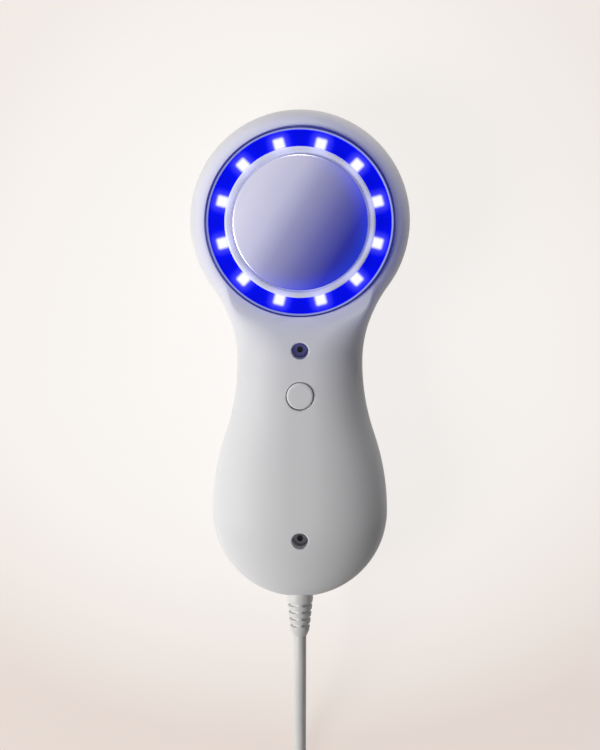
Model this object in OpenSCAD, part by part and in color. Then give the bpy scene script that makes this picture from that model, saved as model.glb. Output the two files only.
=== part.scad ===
// Cooling facial massager: a round head with a cold plate and a light ring on a waisted handle.
// It lies on its back. +Z is the way the cold plate faces, +Y runs from the tail to the head,
// and the origin is the middle of the rear grille's flat face, which rests on the table.
// All sizes are in millimetres.

/* [Outline seen from the front] */
// Diameter of the head
head_d = 75.8; // [74:0.1:79]
// Length of the body, from the top of the head to the end of the tail
body_l = 171; // [162:0.5:185]
// Width of the handle at its waist
waist_w = 43.6; // [40:0.1:48]
// Distance from the middle of the head down to the waist
waist_drop = 48.8; // [46:0.1:54]
// Radius of the hollow curve from the waist down to the grip
flare_r = 78; // [70:0.5:90]
// Diameter of the round tail
tail_d = 61.6; // [58:0.1:66]

/* [Depth of the body] */
// Height of the joint between the two housing halves above the table
split_z = 22; // [21:0.1:24]
// Depth of the front housing at the head
head_front = 13; // [12:0.1:14]
// Depth of the front housing at the waist
waist_front = 12; // [11:0.1:13.5]
// Depth of the front housing at the tail
tail_front = 15; // [13:0.1:17]
// Height of the back of the waist above the table
waist_lift = 6; // [5:0.1:9]
// Width of the rounded edge round the front of the head
front_roll = 5.7; // [4.8:0.1:5.9]
// Width of the rounded edge round the back of the head
rear_roll = 9.2; // [8.8:0.1:10]
// Half the width of the flat strip along the crown of the handle
crown_half = 3.2; // [2:0.1:5]
// Wall thickness of both housings
wall = 2.2; // [1.8:0.1:2.6]

/* [Cold plate, seal and collar] */
// Diameter of the cold plate
plate_d = 45.5; // [44.5:0.1:46.2]
// Thickness of the seal round the plate
seal_t = 0.55; // [0.4:0.05:0.8]
// Outer diameter of the white collar
collar_d = 50.9; // [50.2:0.1:51.6]
// Height of the collar's rim above the head's front face
collar_rise = 3.4; // [2.6:0.1:4.2]
// Height of the plate's edge above the head's front face
plate_rise = 4.4; // [3.6:0.1:5.2]
// Height of the plate's middle above its edge
plate_dome = 1; // [0.4:0.1:1.6]
// Thickness of the plate's skirt
skirt_t = 1.8; // [1.2:0.1:2.4]
// Thickness of the plate's face
face_t = 3; // [2:0.1:3.6]
// Distance of the four plate screws from the middle
plate_screw_at = 18.9; // [18.3:0.1:19.1]

/* [Light ring] */
// Outer diameter of the trim ring
trim_d = 64.1; // [63:0.1:64.4]
// Width of the trim ring's lip
trim_lip = 1.35; // [1.1:0.05:1.8]
// Height of the trim ring above the head's front face
trim_rise = 1.6; // [1:0.1:2.2]
// Thickness of the lens
lens_t = 1.1; // [0.8:0.1:1.4]
// Number of lamps
lamps = 12; // [8:1:14]
// Length of a lamp round the ring
lamp_l = 3.5; // [3:0.1:4]
// Width of a lamp across the ring
lamp_w = 2.8; // [2.4:0.1:3]
// Height of a lamp
lamp_h = 1.2; // [0.8:0.1:1.3]
// Distance of the lamps' middles from the middle of the head
lamp_at = 27; // [26.9:0.05:27.3]
// Thickness of the lamp board
lamp_board_t = 1.2; // [0.8:0.1:1.4]

/* [Cooling stack] */
// Side of the square thermoelectric module
tec_side = 30; // [28:0.5:30]
// Thickness of each ceramic of the module
ceramic_t = 0.8; // [0.6:0.05:1]
// Height of the pellets between the ceramics
pellet_h = 2; // [1.6:0.1:2.2]
// Number of pellets along each side
pellets = 8; // [6:1:9]
// Side of the heat sink
sink_side = 44; // [43:0.5:45]
// Thickness of the heat sink's base
sink_base = 3; // [2.6:0.1:3.4]
// Number of cooling fins
fins = 12; // [10:1:14]
// Thickness of a fin
fin_t = 1.2; // [0.9:0.1:1.4]
// Distance of the heat sink's screws from the middle, along each side
sink_screw_at = 19.3; // [19.1:0.1:19.6]

/* [Fan] */
// Side of the square fan
fan_side = 40; // [39:0.5:41]
// Thickness of the fan
fan_t = 10; // [9.4:0.1:10.4]
// Distance of the fan's screws from its sides
fan_screw_in = 4; // [3.8:0.1:4.2]
// Thickness of the fan's duct where it is thinnest
duct_wall = 1; // [0.8:0.1:1.3]
// Diameter of the rotor's hub
hub_d = 17.6; // [16.6:0.1:18.4]
// Number of blades
blades = 7; // [5:1:9]
// Thickness of a blade
blade_t = 0.9; // [0.7:0.1:1.2]
// Gap between the blade tips and the duct
tip_gap = 0.7; // [0.4:0.1:1]
// Diameter of the rotor's shaft
shaft_d = 2; // [1.8:0.1:2.4]
// Running clearance round the shaft
shaft_gap = 0.03; // [0.02:0.01:0.05]

/* [Rear grille and vents] */
// Distance from the grille to where the back of the head starts to round off
grille_margin = 2.1; // [1.9:0.1:2.6]
// Width of a slot in the grille
slot_w = 2; // [1.6:0.1:2.2]
// Distance from one ring of slots to the next
slot_pitch = 3.5; // [3.4:0.1:3.7]
// Number of rings of slots
slot_rings = 4; // [2:1:4]
// Number of bars across the slots
grille_bars = 6; // [4:1:8]
// Number of vents on each side of the head
vents = 7; // [4:1:8]
// Width of a vent
vent_w = 2.2; // [1.6:0.1:2.6]
// Angle from one vent to the next
vent_step = 9; // [8:0.5:10]
// Height of a vent
vent_h = 8; // [6:0.5:9]

/* [Button and switch] */
// Distance from the middle of the head down to the button
button_drop = 59.5; // [58:0.1:61]
// Diameter of the button's hole
button_hole_d = 9.8; // [9.4:0.1:10.4]
// Gap between the button and its hole
button_gap = 0.3; // [0.2:0.05:0.4]
// Height of the button above the handle's crown
button_rise = 0.6; // [0.4:0.1:1]
// How far the button can be pressed
button_travel = 0.4; // [0.25:0.05:0.5]
// Side of the square switch
switch_side = 6; // [5.6:0.1:6.4]
// Height of the switch's body
switch_h = 3.5; // [3:0.1:4]
// Diameter of the switch's plunger
plunger_d = 3.4; // [3:0.1:3.6]

/* [Handle electronics] */
// Length of the main board
board_l = 54; // [50:0.5:56]
// Width of the main board
board_w = 30; // [27:0.5:31]
// Distance from the middle of the head down to the board's upper edge
board_drop = 49.6; // [49.4:0.1:50.4]
// Thickness of the main board
board_t = 1.6; // [1.2:0.1:2]
// Distance of the board's screws from its edges
board_screw_in = 3.2; // [3:0.1:3.8]
// Diameter of the storage capacitor
cap_d = 8; // [6.3:0.1:8.6]
// Height of the storage capacitor
cap_h = 7; // [5.4:0.1:8]
// Side of the square inductor
coil_side = 7; // [6:0.1:8]

/* [Screws] */
// Distance from the middle of the head down to the upper housing screw
upper_screw_drop = 44; // [43:0.1:44.4]
// Distance from the middle of the head down to the lower housing screw
lower_screw_drop = 110; // [109.4:0.1:112]
// Diameter of the recess over a housing screw
recess_d = 5.8; // [5.6:0.1:6.2]
// Depth of the recess below the crown
recess_depth = 7.5; // [5:0.1:8]
// Diameter of a housing screw
screw_d = 2.9; // [2.5:0.1:3]
// Diameter of a small screw
small_screw_d = 2.4; // [2:0.1:2.5]
// Clearance between a screw and the hole that it passes through
screw_gap = 0.2; // [0.1:0.05:0.3]

/* [Strain relief, lead and plug] */
// Diameter of the lead
lead_d = 4.5; // [4.2:0.1:4.6]
// Diameter of the strain relief where it leaves the tail
relief_d = 9.4; // [9:0.1:10]
// Diameter of the strain relief at its free end
relief_tip_d = 6.6; // [6.4:0.1:7.2]
// Length of the strain relief outside the tail
relief_l = 14.5; // [14:0.1:15.5]
// Number of grooves round the strain relief
relief_grooves = 4; // [3:1:5]
// Diameter of the strain relief's flange inside the tail
flange_d = 12; // [11.4:0.1:13]
// Thickness of that flange
flange_t = 2; // [1.6:0.1:2.4]
// Distance from the tail's end to the flange
flange_in = 4.3; // [4:0.1:4.8]
// Clearance between the strain relief and the housings
relief_gap = 0.1; // [0.05:0.05:0.2]
// Diameter of the middle line of the wound lead
wound_d = 54; // [50:0.5:58]
// Distance from one turn of the wound lead to the next
wound_pitch = 5; // [4.95:0.05:5.3]
// Distance from the lower layer of turns to the upper one
wound_layer = 4.95; // [4.92:0.01:5.2]
// Thickness of the tie round the wound lead
tie_t = 0.5; // [0.4:0.05:0.55]
// Width of the tie
tie_w = 5; // [4:0.5:7]
// Diameter of the plug's grip
grip_d = 9.6; // [9.2:0.1:9.8]
// Length of the plug's grip
grip_l = 22; // [20:0.5:22.5]
// Length of the plug's neck
neck_l = 8; // [7:0.5:8.5]
// Outer diameter of the plug's barrel
barrel_d = 5.5; // [5.4:0.1:5.6]
// Length of the plug's barrel
barrel_l = 9.5; // [9:0.1:9.8]
// Diameter of the hole for the centre pin
pin_hole_d = 2.1; // [2:0.1:2.5]

/* [Hidden] */
$fn = 64;

shell_white = [0.9, 0.9, 0.9];
light_blue = [0.1, 0.15, 0.95];
bare_metal = [0.75, 0.77, 0.85];
board_green = [0.1, 0.35, 0.2];
soft_black = [0.1, 0.1, 0.11];
brass = [0.85, 0.7, 0.35];

// Clearance between a turned inner piece and the bore that it drops into
slip = 0.1;
// Faces of one body that lie over each other without touching
air = 0.3;
// How far a cutting shape runs past the face that it cuts
past = 1;

// Outline: the head's circle, a hollow neck, a hollow flare, a full grip and a round tail
head_r = head_d / 2;
tail_r = tail_d / 2;
waist_half = waist_w / 2;
waist_y = -waist_drop;
tail_y = head_r + tail_r - body_l;
neck_r = (waist_half * waist_half + waist_y * waist_y - head_r * head_r)
    / (2 * (head_r - waist_half));
neck_angle = atan2(-waist_y, waist_half + neck_r);
flare_side = waist_half + flare_r - tail_r;
grip_r = (flare_side * flare_side + (waist_y - tail_y) * (waist_y - tail_y) - flare_r * flare_r)
    / (2 * (flare_r - flare_side));
flare_angle = atan2(waist_y - tail_y, flare_side + grip_r);
neck_top = -head_r * sin(neck_angle);

// Stations along one side of the outline, and steps from the rim up to the crown
head_steps = 16;
neck_steps = 10;
flare_steps = 6;
grip_steps = 5;
tail_steps = 11;
stations = head_steps + neck_steps + flare_steps + grip_steps + tail_steps;
roll_steps = 8;

// Heights of the stack in the head, from the bezel down and from the table up
bezel_z = split_z + head_front;
light_floor_z = bezel_z - 3;
light_floor_t = 1.4;
sink_post_h = 3.6;
sink_top = light_floor_z - light_floor_t - sink_post_h;
tec_top = sink_top + 2 * ceramic_t + pellet_h;
lamp_z = light_floor_z + lamp_board_t;
trim_seat_z = bezel_z - 1.2;
lens_z = trim_seat_z + 1;
skirt_z = light_floor_z + 0.2;
grille_flange_t = 1;
grille_lip = 1.1;
screw_head_h = 0.62 * screw_d;
fan_z = wall + grille_flange_t + screw_head_h + 0.2;
fin_z = fan_z + fan_t;
fan_screw_at = fan_side / 2 - fan_screw_in;
duct_d = fan_side - 2 * duct_wall;
vent_z = fin_z - 3;

// Radii in the head
plate_r = plate_d / 2;
collar_in_r = plate_r + seal_t;
collar_r = collar_d / 2;
trim_r = trim_d / 2;
lens_r = trim_r - trim_lip;
channel_r = lens_r - 0.7;
channel_wall = 3;
floor_r = collar_in_r + 0.45;
grille_r = head_r - rear_roll - grille_margin;

// Heights in the handle
board_y = -board_drop;
board_z = split_z - 2.8;
board_top = board_z + board_t;
button_y = -button_drop;
upper_screw_y = -upper_screw_drop;
lower_screw_y = -lower_screw_drop;
boss_r = recess_d / 2 + 1.1;
rear_boss_r = screw_d / 2 + 2;

// How deep the screws bite, from the faces that they enter
screw_bite = 10;
small_bite = 6;
plate_bite = 3;
fan_bite = 6;

// The button's guide, the switch and the sockets
sleeve_h = 6;
plunger_rise = 0.9;
plunger_sunk = 0.6;
socket_h = 3.5;
socket_w = 5.6;
socket_at = 6.7;
lead_socket_w = 7.5;

// The fan's hub
cup_wall = 1;
cup_lift = 0.6;
spider_t = 1.4;
bearing_r = shaft_d / 2 + 0.9;
bearing_z = fan_z + 3;
bearing_h = 5;
stator_h = 4;

// Each chip on the main board: its place from the middle of the board's upper edge, its length,
// width and height, and its number of legs along each side
chips = [[[8, -22], [6.2, 5.3, 1.5], 8], [[-8, -24], [4.9, 3.9, 1.5], 4], [[-8, -34], [6.6, 6.2, 2.3], 3]];
chip_lift = 0.1;
leg_size = [0.8, 0.4, 0.5];
cap_place = [8, -34];
inductor_place = [0, -29];

// Bosses
plate_boss_r = small_screw_d / 2 + 0.8;
post_r = small_screw_d / 2 + 1.2;

// Where the strain relief and the plug lie
tail_end = tail_y - tail_r;
relief_end = tail_end - relief_l;
lead_r = lead_d / 2;
barrel_foot_d = barrel_d + 1.6;
barrel_foot_l = 2;
barrel_wall = 0.4;
contact_wall = 0.35;

// The wound lead: two layers, in towards the middle and out again
wound_at = [-14, -246];
wound_turns = 7.875;
wound_start = 45;
wound_rings = 24;
wound_sides = 6;
low_z = lead_r + tie_t + 0.15;
high_z = low_z + wound_layer;
wound_out_r = wound_d / 2 + wound_pitch * wound_turns / 4;
wound_in_r = wound_d / 2 - wound_pitch * wound_turns / 4;

// The inner wires: where each pair lies across the body, and the points of its route, each with its
// height above the heat sink or the fan, or below the lamp board
module_wires = [-7.6, -6];
module_wire_rise = 1.7;
module_wire_route = [[-46, -4.4], [-38, -3.8], [-31, -1.4], [-26.5, 1.3], [-23, 1.7], [-19, 1.7]];
fan_wires = [5.2, 6.25];
fan_wire_rise = 8;
fan_wire_route = [[-46, 17.2], [-38, 16], [-31, 12], [-27, 9], [-24, 8]];
lamp_wires = [7.3, 8.35];
lamp_wire_route = [[-46, 9.4], [-38, 9], [-32, 7.4], [-28.4, 5], [-27.2, 2.4], [-27, 0]];
lead_wire_route = [[2.4, -123, 0], [4.6, -118.5, 0], [5.8, -114, 0], [5.8, -109, 0.2], [3.6, -105.4, 0.6], [2.2, -103, 0.6]];

// Points of the lead from the tail to the coil, apart from the first and the last
lead_route = [[0, -152, 22], [0, -157, 21.6], [0, -162, 20.4], [0, -167, 18.4], [0, -172, 15.7],
    [0, -177, 12.6], [0, -182, 9.6], [0, -187, 7], [0, -192, 5], [0, -197, 3.7],
    [0.4, -202, 3.1], [1.6, -206.5, 2.9], [3.1, -210.3, 2.9], [5.7, -213.6, 2.9]];
// Points of the lead from the coil to the plug, apart from the first and the last
plug_route = [[-4, -209.2, 7.85], [2, -209.2, 7.8], [8, -209.6, 7.7], [14, -211, 7.4], [19.6, -213.6, 6.9],
    [24.4, -217.4, 6.3], [28.2, -222, 5.6], [30.8, -227.4, 5.1], [32, -233, 4.8]];
plug_at = [32, -239];
plug_z = grip_d / 2;

function mix(a, b, share) = a + (b - a) * share;

function smooth(u) = let (v = min(1, max(0, u))) v * v * (3 - 2 * v);

function arc_points(middle, r, from, to, steps) =
    [for (i = [0 : steps - 1]) middle + r * [cos(mix(from, to, i / steps)), sin(mix(from, to, i / steps))]];

// The right side of the outline from the top of the head to the end of the tail, drawn in by inset
function side_outline(inset) = concat(
    arc_points([0, 0], head_r - inset, 90, -neck_angle, head_steps),
    arc_points([waist_half + neck_r, waist_y], neck_r + inset, 180 - neck_angle, 180, neck_steps),
    arc_points([waist_half + flare_r, waist_y], flare_r + inset, 180, 180 + flare_angle, flare_steps),
    arc_points([tail_r - grip_r, tail_y], grip_r - inset, flare_angle, 0, grip_steps),
    arc_points([0, tail_y], tail_r - inset, 0, -90, tail_steps),
    [[0, tail_y - tail_r + inset]]);

// The spine stays at the head's middle, eases down to the waist, follows the handle and stops
// at the tail's middle, so the head and the tail come out round
function spine_y(y) =
    y >= neck_top ? 0
    : y <= tail_y ? tail_y
    : y <= waist_y ? y
    : let (u = (neck_top - y) / (neck_top - waist_y))
        waist_y * (3 * u * u - 2 * u * u * u) + (waist_y - neck_top) * (u * u * u - u * u);

// The head keeps its depth as far as the grille's lower edge, so its back stays flat round the grille
level_y = -grille_r - 2;

function depth_at(y, head, waist, tail) =
    y > waist_y
    ? mix(head, waist, smooth((y - level_y) / (waist_y - level_y)))
    : mix(waist, tail, smooth((y - waist_y) / (tail_y - waist_y)));

// Half the width of the handle between the head and the tail's middle
flare_end = waist_y - flare_r * sin(flare_angle);

function half_width(y) =
    y > waist_y ? waist_half + neck_r - sqrt(neck_r * neck_r - (y - waist_y) * (y - waist_y))
    : y > flare_end ? waist_half + flare_r - sqrt(flare_r * flare_r - (y - waist_y) * (y - waist_y))
    : tail_r - grip_r + sqrt(grip_r * grip_r - (y - tail_y) * (y - tail_y));

// Height of the handle's back at a point beside its middle line
function back_z(x, y) =
    let (reach = half_width(y), flat = crown_half / reach, t = max(0, (x / reach - flat) / (1 - flat)))
    split_z - (split_z - rear_z(y)) * sqrt(1 - t * t);

function front_z(y) = split_z + depth_at(y, head_front, waist_front, tail_front);

function rear_z(y) = split_z - depth_at(y, split_z, split_z - waist_lift, split_z);

// One skin of a housing: rings of points from the rim to the crown, then the spine's points
function skin_points(inset, head, waist, tail, roll, up) =
    let (outer = side_outline(0), edge = side_outline(inset))
    concat(
        [for (j = [0 : roll_steps]) for (i = [0 : 2 * stations - 1])
            let (
                k = i <= stations ? i : 2 * stations - i,
                side = i <= stations ? 1 : -1,
                s = spine_y(outer[k][1]),
                rib = edge[k] - [0, s],
                reach = norm(rib),
                flat = mix(head_r - roll, crown_half, smooth(s / waist_y)) / reach,
                t = flat + (1 - flat) * cos(90 * j / roll_steps),
                depth = depth_at(s, head, waist, tail) - inset
            )
            [side * rib[0] * t, s + rib[1] * t, split_z + up * depth * sin(90 * j / roll_steps)]],
        [for (k = [head_steps : stations - tail_steps])
            let (s = spine_y(outer[k][1]))
            [0, s, split_z + up * (depth_at(s, head, waist, tail) - inset)]]);

around = 2 * stations;
spine_first = around * (roll_steps + 1);

function ring_at(j, i) = j * around + i % around;

function spine_at(i) =
    let (n = i % around, k = n <= stations ? n : around - n)
    spine_first + min(max(k, head_steps), stations - tail_steps) - head_steps;

function skin_faces() = concat(
    [for (j = [0 : roll_steps - 1]) for (i = [0 : around - 1]) each [
        [ring_at(j, i), ring_at(j, i + 1), ring_at(j + 1, i + 1)],
        [ring_at(j, i), ring_at(j + 1, i + 1), ring_at(j + 1, i)]]],
    [for (i = [0 : around - 1]) [ring_at(roll_steps, i), ring_at(roll_steps, i + 1), spine_at(i + 1)]],
    [for (i = [0 : around - 1]) if (spine_at(i) != spine_at(i + 1))
        [ring_at(roll_steps, i), spine_at(i + 1), spine_at(i)]]);

function flipped(face) = [face[2], face[1], face[0]];

function moved(face, by) = [face[0] + by, face[1] + by, face[2] + by];

// Half of the body's shell, above the joint with up = 1 or below it with up = -1
module half_shell(head, waist, tail, roll, up) {
    outer = skin_points(0, head, waist, tail, roll, up);
    inner = skin_points(wall, head, waist, tail, roll, up);
    n = len(outer);
    rim = [for (i = [0 : around - 1]) each [
        [i, n + i, n + (i + 1) % around],
        [i, n + (i + 1) % around, (i + 1) % around]]];
    closed = concat(skin_faces(), [for (f = skin_faces()) moved(flipped(f), n)], rim);
    polyhedron(points = concat(outer, inner), faces = up > 0 ? closed : [for (f = closed) flipped(f)]);
}

module tube(r_out, r_in, h) {
    difference() {
        cylinder(r = r_out, h = h);
        translate([0, 0, -past]) cylinder(r = r_in, h = h + 2 * past);
    }
}

module at_corners(x, y) {
    for (sx = [-1, 1]) for (sy = [-1, 1]) translate([sx * x, sy * y, 0]) children();
}

module at_quarters(r) {
    for (a = [0 : 90 : 270]) rotate(a) translate([r, 0, 0]) children();
}

// A pan head screw that points up, with the underside of its head at z = 0
module screw_up(d, shank) {
    head_h = 0.62 * d;
    difference() {
        union() {
            cylinder(d = d, h = shank);
            translate([0, 0, -head_h]) cylinder(d = 1.85 * d, h = head_h);
        }
        translate([0, 0, -head_h - past]) cylinder(d = 0.8 * d, h = past + 0.6 * head_h, $fn = 6);
    }
}

module vents_cut() {
    for (side = [0, 180]) for (i = [0 : vents - 1])
        rotate(side + (i - (vents - 1) / 2) * vent_step)
            translate([head_r - rear_roll, -vent_w / 2, vent_z]) cube([rear_roll + past, vent_w, vent_h]);
}

// The hole for the strain relief and the pocket for its flange, with their clearance
module relief_cut() {
    translate([0, tail_end + flange_in + flange_t + relief_gap, split_z]) rotate([90, 0, 0]) {
        cylinder(d = flange_d + 2 * relief_gap, h = flange_t + 2 * relief_gap);
        cylinder(d = relief_d + 2 * relief_gap, h = flange_in + flange_t + 4 * past);
    }
}

module front_housing() {
    color(shell_white) difference() {
        union() {
            difference() {
                half_shell(head_front, waist_front, tail_front, front_roll, 1);
                translate([0, 0, split_z]) cylinder(r = channel_r, h = head_front + past, $fn = 96);
            }
            light_channel();
            at_corners(sink_screw_at, sink_screw_at)
                translate([0, 0, sink_top]) cylinder(r = small_screw_d / 2 + 1.7, h = sink_post_h + light_floor_t / 2);
            for (y = [upper_screw_y, lower_screw_y])
                translate([0, y, split_z]) cylinder(r = boss_r, h = front_z(y) - split_z - wall / 2);
            button_sleeve();
        }
        translate([0, 0, trim_seat_z]) cylinder(r = trim_r + slip, h = head_front, $fn = 96);
        at_corners(sink_screw_at, sink_screw_at)
            translate([0, 0, sink_top - past]) cylinder(d = small_screw_d, h = past + sink_post_h + 0.6);
        for (y = [upper_screw_y, lower_screw_y]) translate([0, y, 0]) {
            translate([0, 0, front_z(y) - recess_depth]) cylinder(d = recess_d, h = recess_depth + past);
            translate([0, 0, split_z - past]) cylinder(d = screw_d + 2 * screw_gap, h = head_front + past);
        }
        translate([0, button_y, split_z]) cylinder(d = button_hole_d, h = head_front + 2 * past);
        relief_cut();
    }
}

// The round trough in the head that holds the lamp board, the lens and the trim ring
module light_channel() {
    difference() {
        translate([0, 0, light_floor_z - light_floor_t])
            tube(channel_r + channel_wall, floor_r, light_floor_t, $fn = 96);
        translate([6.5, -28.7, light_floor_z - light_floor_t - past])
            cube([2.9, 3, light_floor_t + 2 * past]);
    }
    translate([0, 0, light_floor_z - light_floor_t])
        tube(channel_r + channel_wall, channel_r, light_floor_t + 1.6, $fn = 96);
}

// The button's guide under the handle's crown
module button_sleeve() {
    sleeve_z = front_z(button_y) - sleeve_h;
    translate([0, button_y, sleeve_z]) tube(button_hole_d / 2 + 1.2, button_hole_d / 2, sleeve_h - wall / 2);
}

module rear_housing() {
    color(shell_white) difference() {
        union() {
            half_shell(split_z, split_z - waist_lift, split_z, rear_roll, -1);
            for (y = [upper_screw_y, lower_screw_y])
                translate([0, y, rear_z(y) + wall / 2]) cylinder(r = rear_boss_r, h = split_z - rear_z(y) - wall / 2);
            board_posts();
        }
        translate([0, 0, -past]) cylinder(r = grille_r + slip, h = wall + 2 * past, $fn = 96);
        translate([0, 0, wall]) cylinder(r = grille_r + grille_lip + slip, h = grille_flange_t + past, $fn = 96);
        vents_cut();
        for (y = [upper_screw_y, lower_screw_y])
            translate([0, y, split_z - screw_bite - past]) cylinder(d = screw_d, h = screw_bite + 2 * past);
        board_places() translate([0, 0, board_z - small_bite]) cylinder(d = small_screw_d, h = small_bite + past);
        relief_cut();
    }
}

module board_places() {
    translate([0, board_y - board_l / 2, 0])
        at_corners(board_w / 2 - board_screw_in, board_l / 2 - board_screw_in) children();
}

// Posts that stand on the rear wall and carry the corners of the main board
module board_posts() {
    x = board_w / 2 - board_screw_in;
    for (y = [board_y - board_screw_in, board_y - board_l + board_screw_in]) {
        foot = back_z(x + post_r, y) + 0.3;
        for (side = [-1, 1]) translate([side * x, y, foot]) cylinder(r = post_r, h = board_z - foot);
    }
}

module rear_grille() {
    slots_from = 8;
    color(shell_white) {
        difference() {
            union() {
                cylinder(r = grille_r, h = wall + grille_flange_t, $fn = 96);
                translate([0, 0, wall]) cylinder(r = grille_r + grille_lip, h = grille_flange_t, $fn = 96);
            }
            translate([0, 0, wall]) cylinder(r = grille_r - grille_lip, h = grille_flange_t + past, $fn = 96);
            for (i = [0 : slot_rings - 1]) translate([0, 0, -past])
                tube(slots_from + i * slot_pitch + slot_w, slots_from + i * slot_pitch, wall + 2 * past);
        }
        bar_l = slots_from + slot_rings * slot_pitch;
        for (i = [0 : grille_bars - 1]) rotate(90 + i * 360 / grille_bars)
            translate([slots_from - 1, -1.2, 0]) cube([bar_l - slots_from, 2.4, wall]);
    }
}

module trim_ring() {
    top = trim_rise + bezel_z;
    color(light_blue) rotate_extrude($fn = 96) polygon([
        [channel_r, trim_seat_z], [trim_r, trim_seat_z], [trim_r, top - 0.4], [trim_r - 0.4, top],
        [lens_r + 0.3, top], [lens_r, top - 0.3], [lens_r, lens_z], [channel_r, lens_z]]);
}

module light_lens() {
    color([0.3, 0.4, 1, 0.6]) translate([0, 0, lens_z]) tube(lens_r - slip / 2, collar_r + slip / 2, lens_t, $fn = 96);
}

module plate_collar() {
    top = bezel_z + collar_rise;
    round_r = (collar_r - collar_in_r) / 2;
    color("white") rotate_extrude($fn = 96) polygon(concat(
        [[collar_in_r, lamp_z], [collar_r, lamp_z]],
        [for (a = [0 : 30 : 180]) [collar_in_r + round_r + round_r * cos(a), top - round_r + round_r * sin(a)]]));
}

module plate_seal() {
    color([0.6, 0.62, 0.68]) translate([0, 0, skirt_z])
        tube(collar_in_r, plate_r, bezel_z + collar_rise - 0.9 - skirt_z, $fn = 96);
}

module cold_plate() {
    edge = 1;
    top = bezel_z + plate_rise;
    rim_r = plate_r - edge;
    dome_r = (rim_r * rim_r + plate_dome * plate_dome) / (2 * plate_dome);
    inside_z = top - face_t;
    color(bare_metal) difference() {
        union() {
            rotate_extrude($fn = 96) polygon(concat(
                [[0, inside_z], [plate_r - skirt_t, inside_z], [plate_r - skirt_t, skirt_z], [plate_r, skirt_z]],
                [for (a = [0 : 22.5 : 67.5]) [rim_r + edge * cos(a), top - edge + edge * sin(a)]],
                [for (i = [0 : 7]) let (x = rim_r * (1 - i / 8)) [x, top + plate_dome - dome_r + sqrt(dome_r * dome_r - x * x)]],
                [[0, top + plate_dome]]));
            translate([-tec_side / 2, -tec_side / 2, tec_top])
                cube([tec_side, tec_side, inside_z - tec_top + 0.5]);
            at_quarters(plate_screw_at) translate([0, 0, skirt_z]) cylinder(r = plate_boss_r, h = inside_z - skirt_z + 0.5);
        }
        at_quarters(plate_screw_at) translate([0, 0, skirt_z - past]) cylinder(d = small_screw_d, h = plate_bite + past);
    }
}

module lamp_board() {
    color(board_green) translate([0, 0, light_floor_z])
        tube(channel_r - slip, floor_r + slip, lamp_board_t, $fn = 96);
}

module lamps_smd() {
    color("white") for (i = [0 : lamps - 1]) rotate((i + 0.5) * 360 / lamps)
        translate([lamp_at, 0, lamp_z]) difference() {
            translate([-lamp_w / 2, -lamp_l / 2, 0]) cube([lamp_w, lamp_l, lamp_h]);
            translate([0, 0, lamp_h - 0.3]) cylinder(d = lamp_w - 0.7, h = 1, $fn = 24);
        }
}

module module_insulation() {
    hole = tec_side + 0.6;
    color([0.2, 0.2, 0.22]) difference() {
        translate([0, 0, sink_top]) cylinder(r = plate_r, h = skirt_z - sink_top, $fn = 96);
        translate([-hole / 2, -hole / 2, sink_top - past]) cube([hole, hole, skirt_z - sink_top + 2 * past]);
        at_quarters(plate_screw_at) translate([0, 0, sink_top - past]) cylinder(d = small_screw_d + 0.8, h = 20);
        translate([-8.6, -plate_r - past, sink_top - past]) cube([3.6, plate_r + past - tec_side / 2, past + 2.8]);
    }
}

module module_ceramics() {
    color("white") for (z = [sink_top, tec_top - ceramic_t])
        translate([-tec_side / 2, -tec_side / 2, z]) cube([tec_side, tec_side, ceramic_t]);
}

module module_pellets() {
    pitch = tec_side / pellets;
    side = 0.45 * pitch;
    color([0.55, 0.55, 0.6]) for (i = [0 : pellets - 1]) for (j = [0 : pellets - 1])
        translate([(i + 0.5) * pitch - tec_side / 2 - side / 2, (j + 0.5) * pitch - tec_side / 2 - side / 2,
            sink_top + ceramic_t]) cube([side, side, pellet_h]);
}

module heat_sink() {
    base_z = sink_top - sink_base;
    pitch = (sink_side - fin_t) / (fins - 1);
    color(bare_metal) difference() {
        union() {
            translate([-sink_side / 2, -sink_side / 2, base_z]) cube([sink_side, sink_side, sink_base]);
            difference() {
                for (i = [0 : fins - 1]) translate([-sink_side / 2, -sink_side / 2 + i * pitch, fin_z])
                    cube([sink_side, fin_t, base_z - fin_z]);
                at_corners(sink_screw_at, sink_screw_at)
                    translate([0, 0, fin_z - past]) cylinder(d = 2.4 * small_screw_d, h = base_z - fin_z + past);
                at_quarters(plate_screw_at)
                    translate([0, 0, fin_z - past]) cylinder(d = 2.4 * small_screw_d, h = base_z - fin_z + past);
            }
            at_corners(fan_screw_at, fan_screw_at) translate([0, 0, fin_z]) cylinder(r = screw_d / 2 + 1, h = base_z - fin_z);
        }
        at_corners(fan_screw_at, fan_screw_at) translate([0, 0, fin_z - past]) cylinder(d = screw_d, h = fan_bite + past);
        at_corners(sink_screw_at, sink_screw_at)
            translate([0, 0, base_z - past]) cylinder(d = small_screw_d + 2 * screw_gap, h = sink_base + 2 * past);
        at_quarters(plate_screw_at)
            translate([0, 0, base_z - past]) cylinder(d = small_screw_d + 2 * screw_gap, h = sink_base + 2 * past);
    }
}

module plate_screws() {
    shank = skirt_z + plate_bite - 0.4 - (sink_top - sink_base);
    color("silver") at_quarters(plate_screw_at) translate([0, 0, sink_top - sink_base]) screw_up(small_screw_d, shank);
}

module sink_screws() {
    shank = sink_base + sink_post_h;
    color("silver") at_corners(sink_screw_at, sink_screw_at)
        translate([0, 0, sink_top - sink_base]) screw_up(small_screw_d, shank);
}

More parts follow.
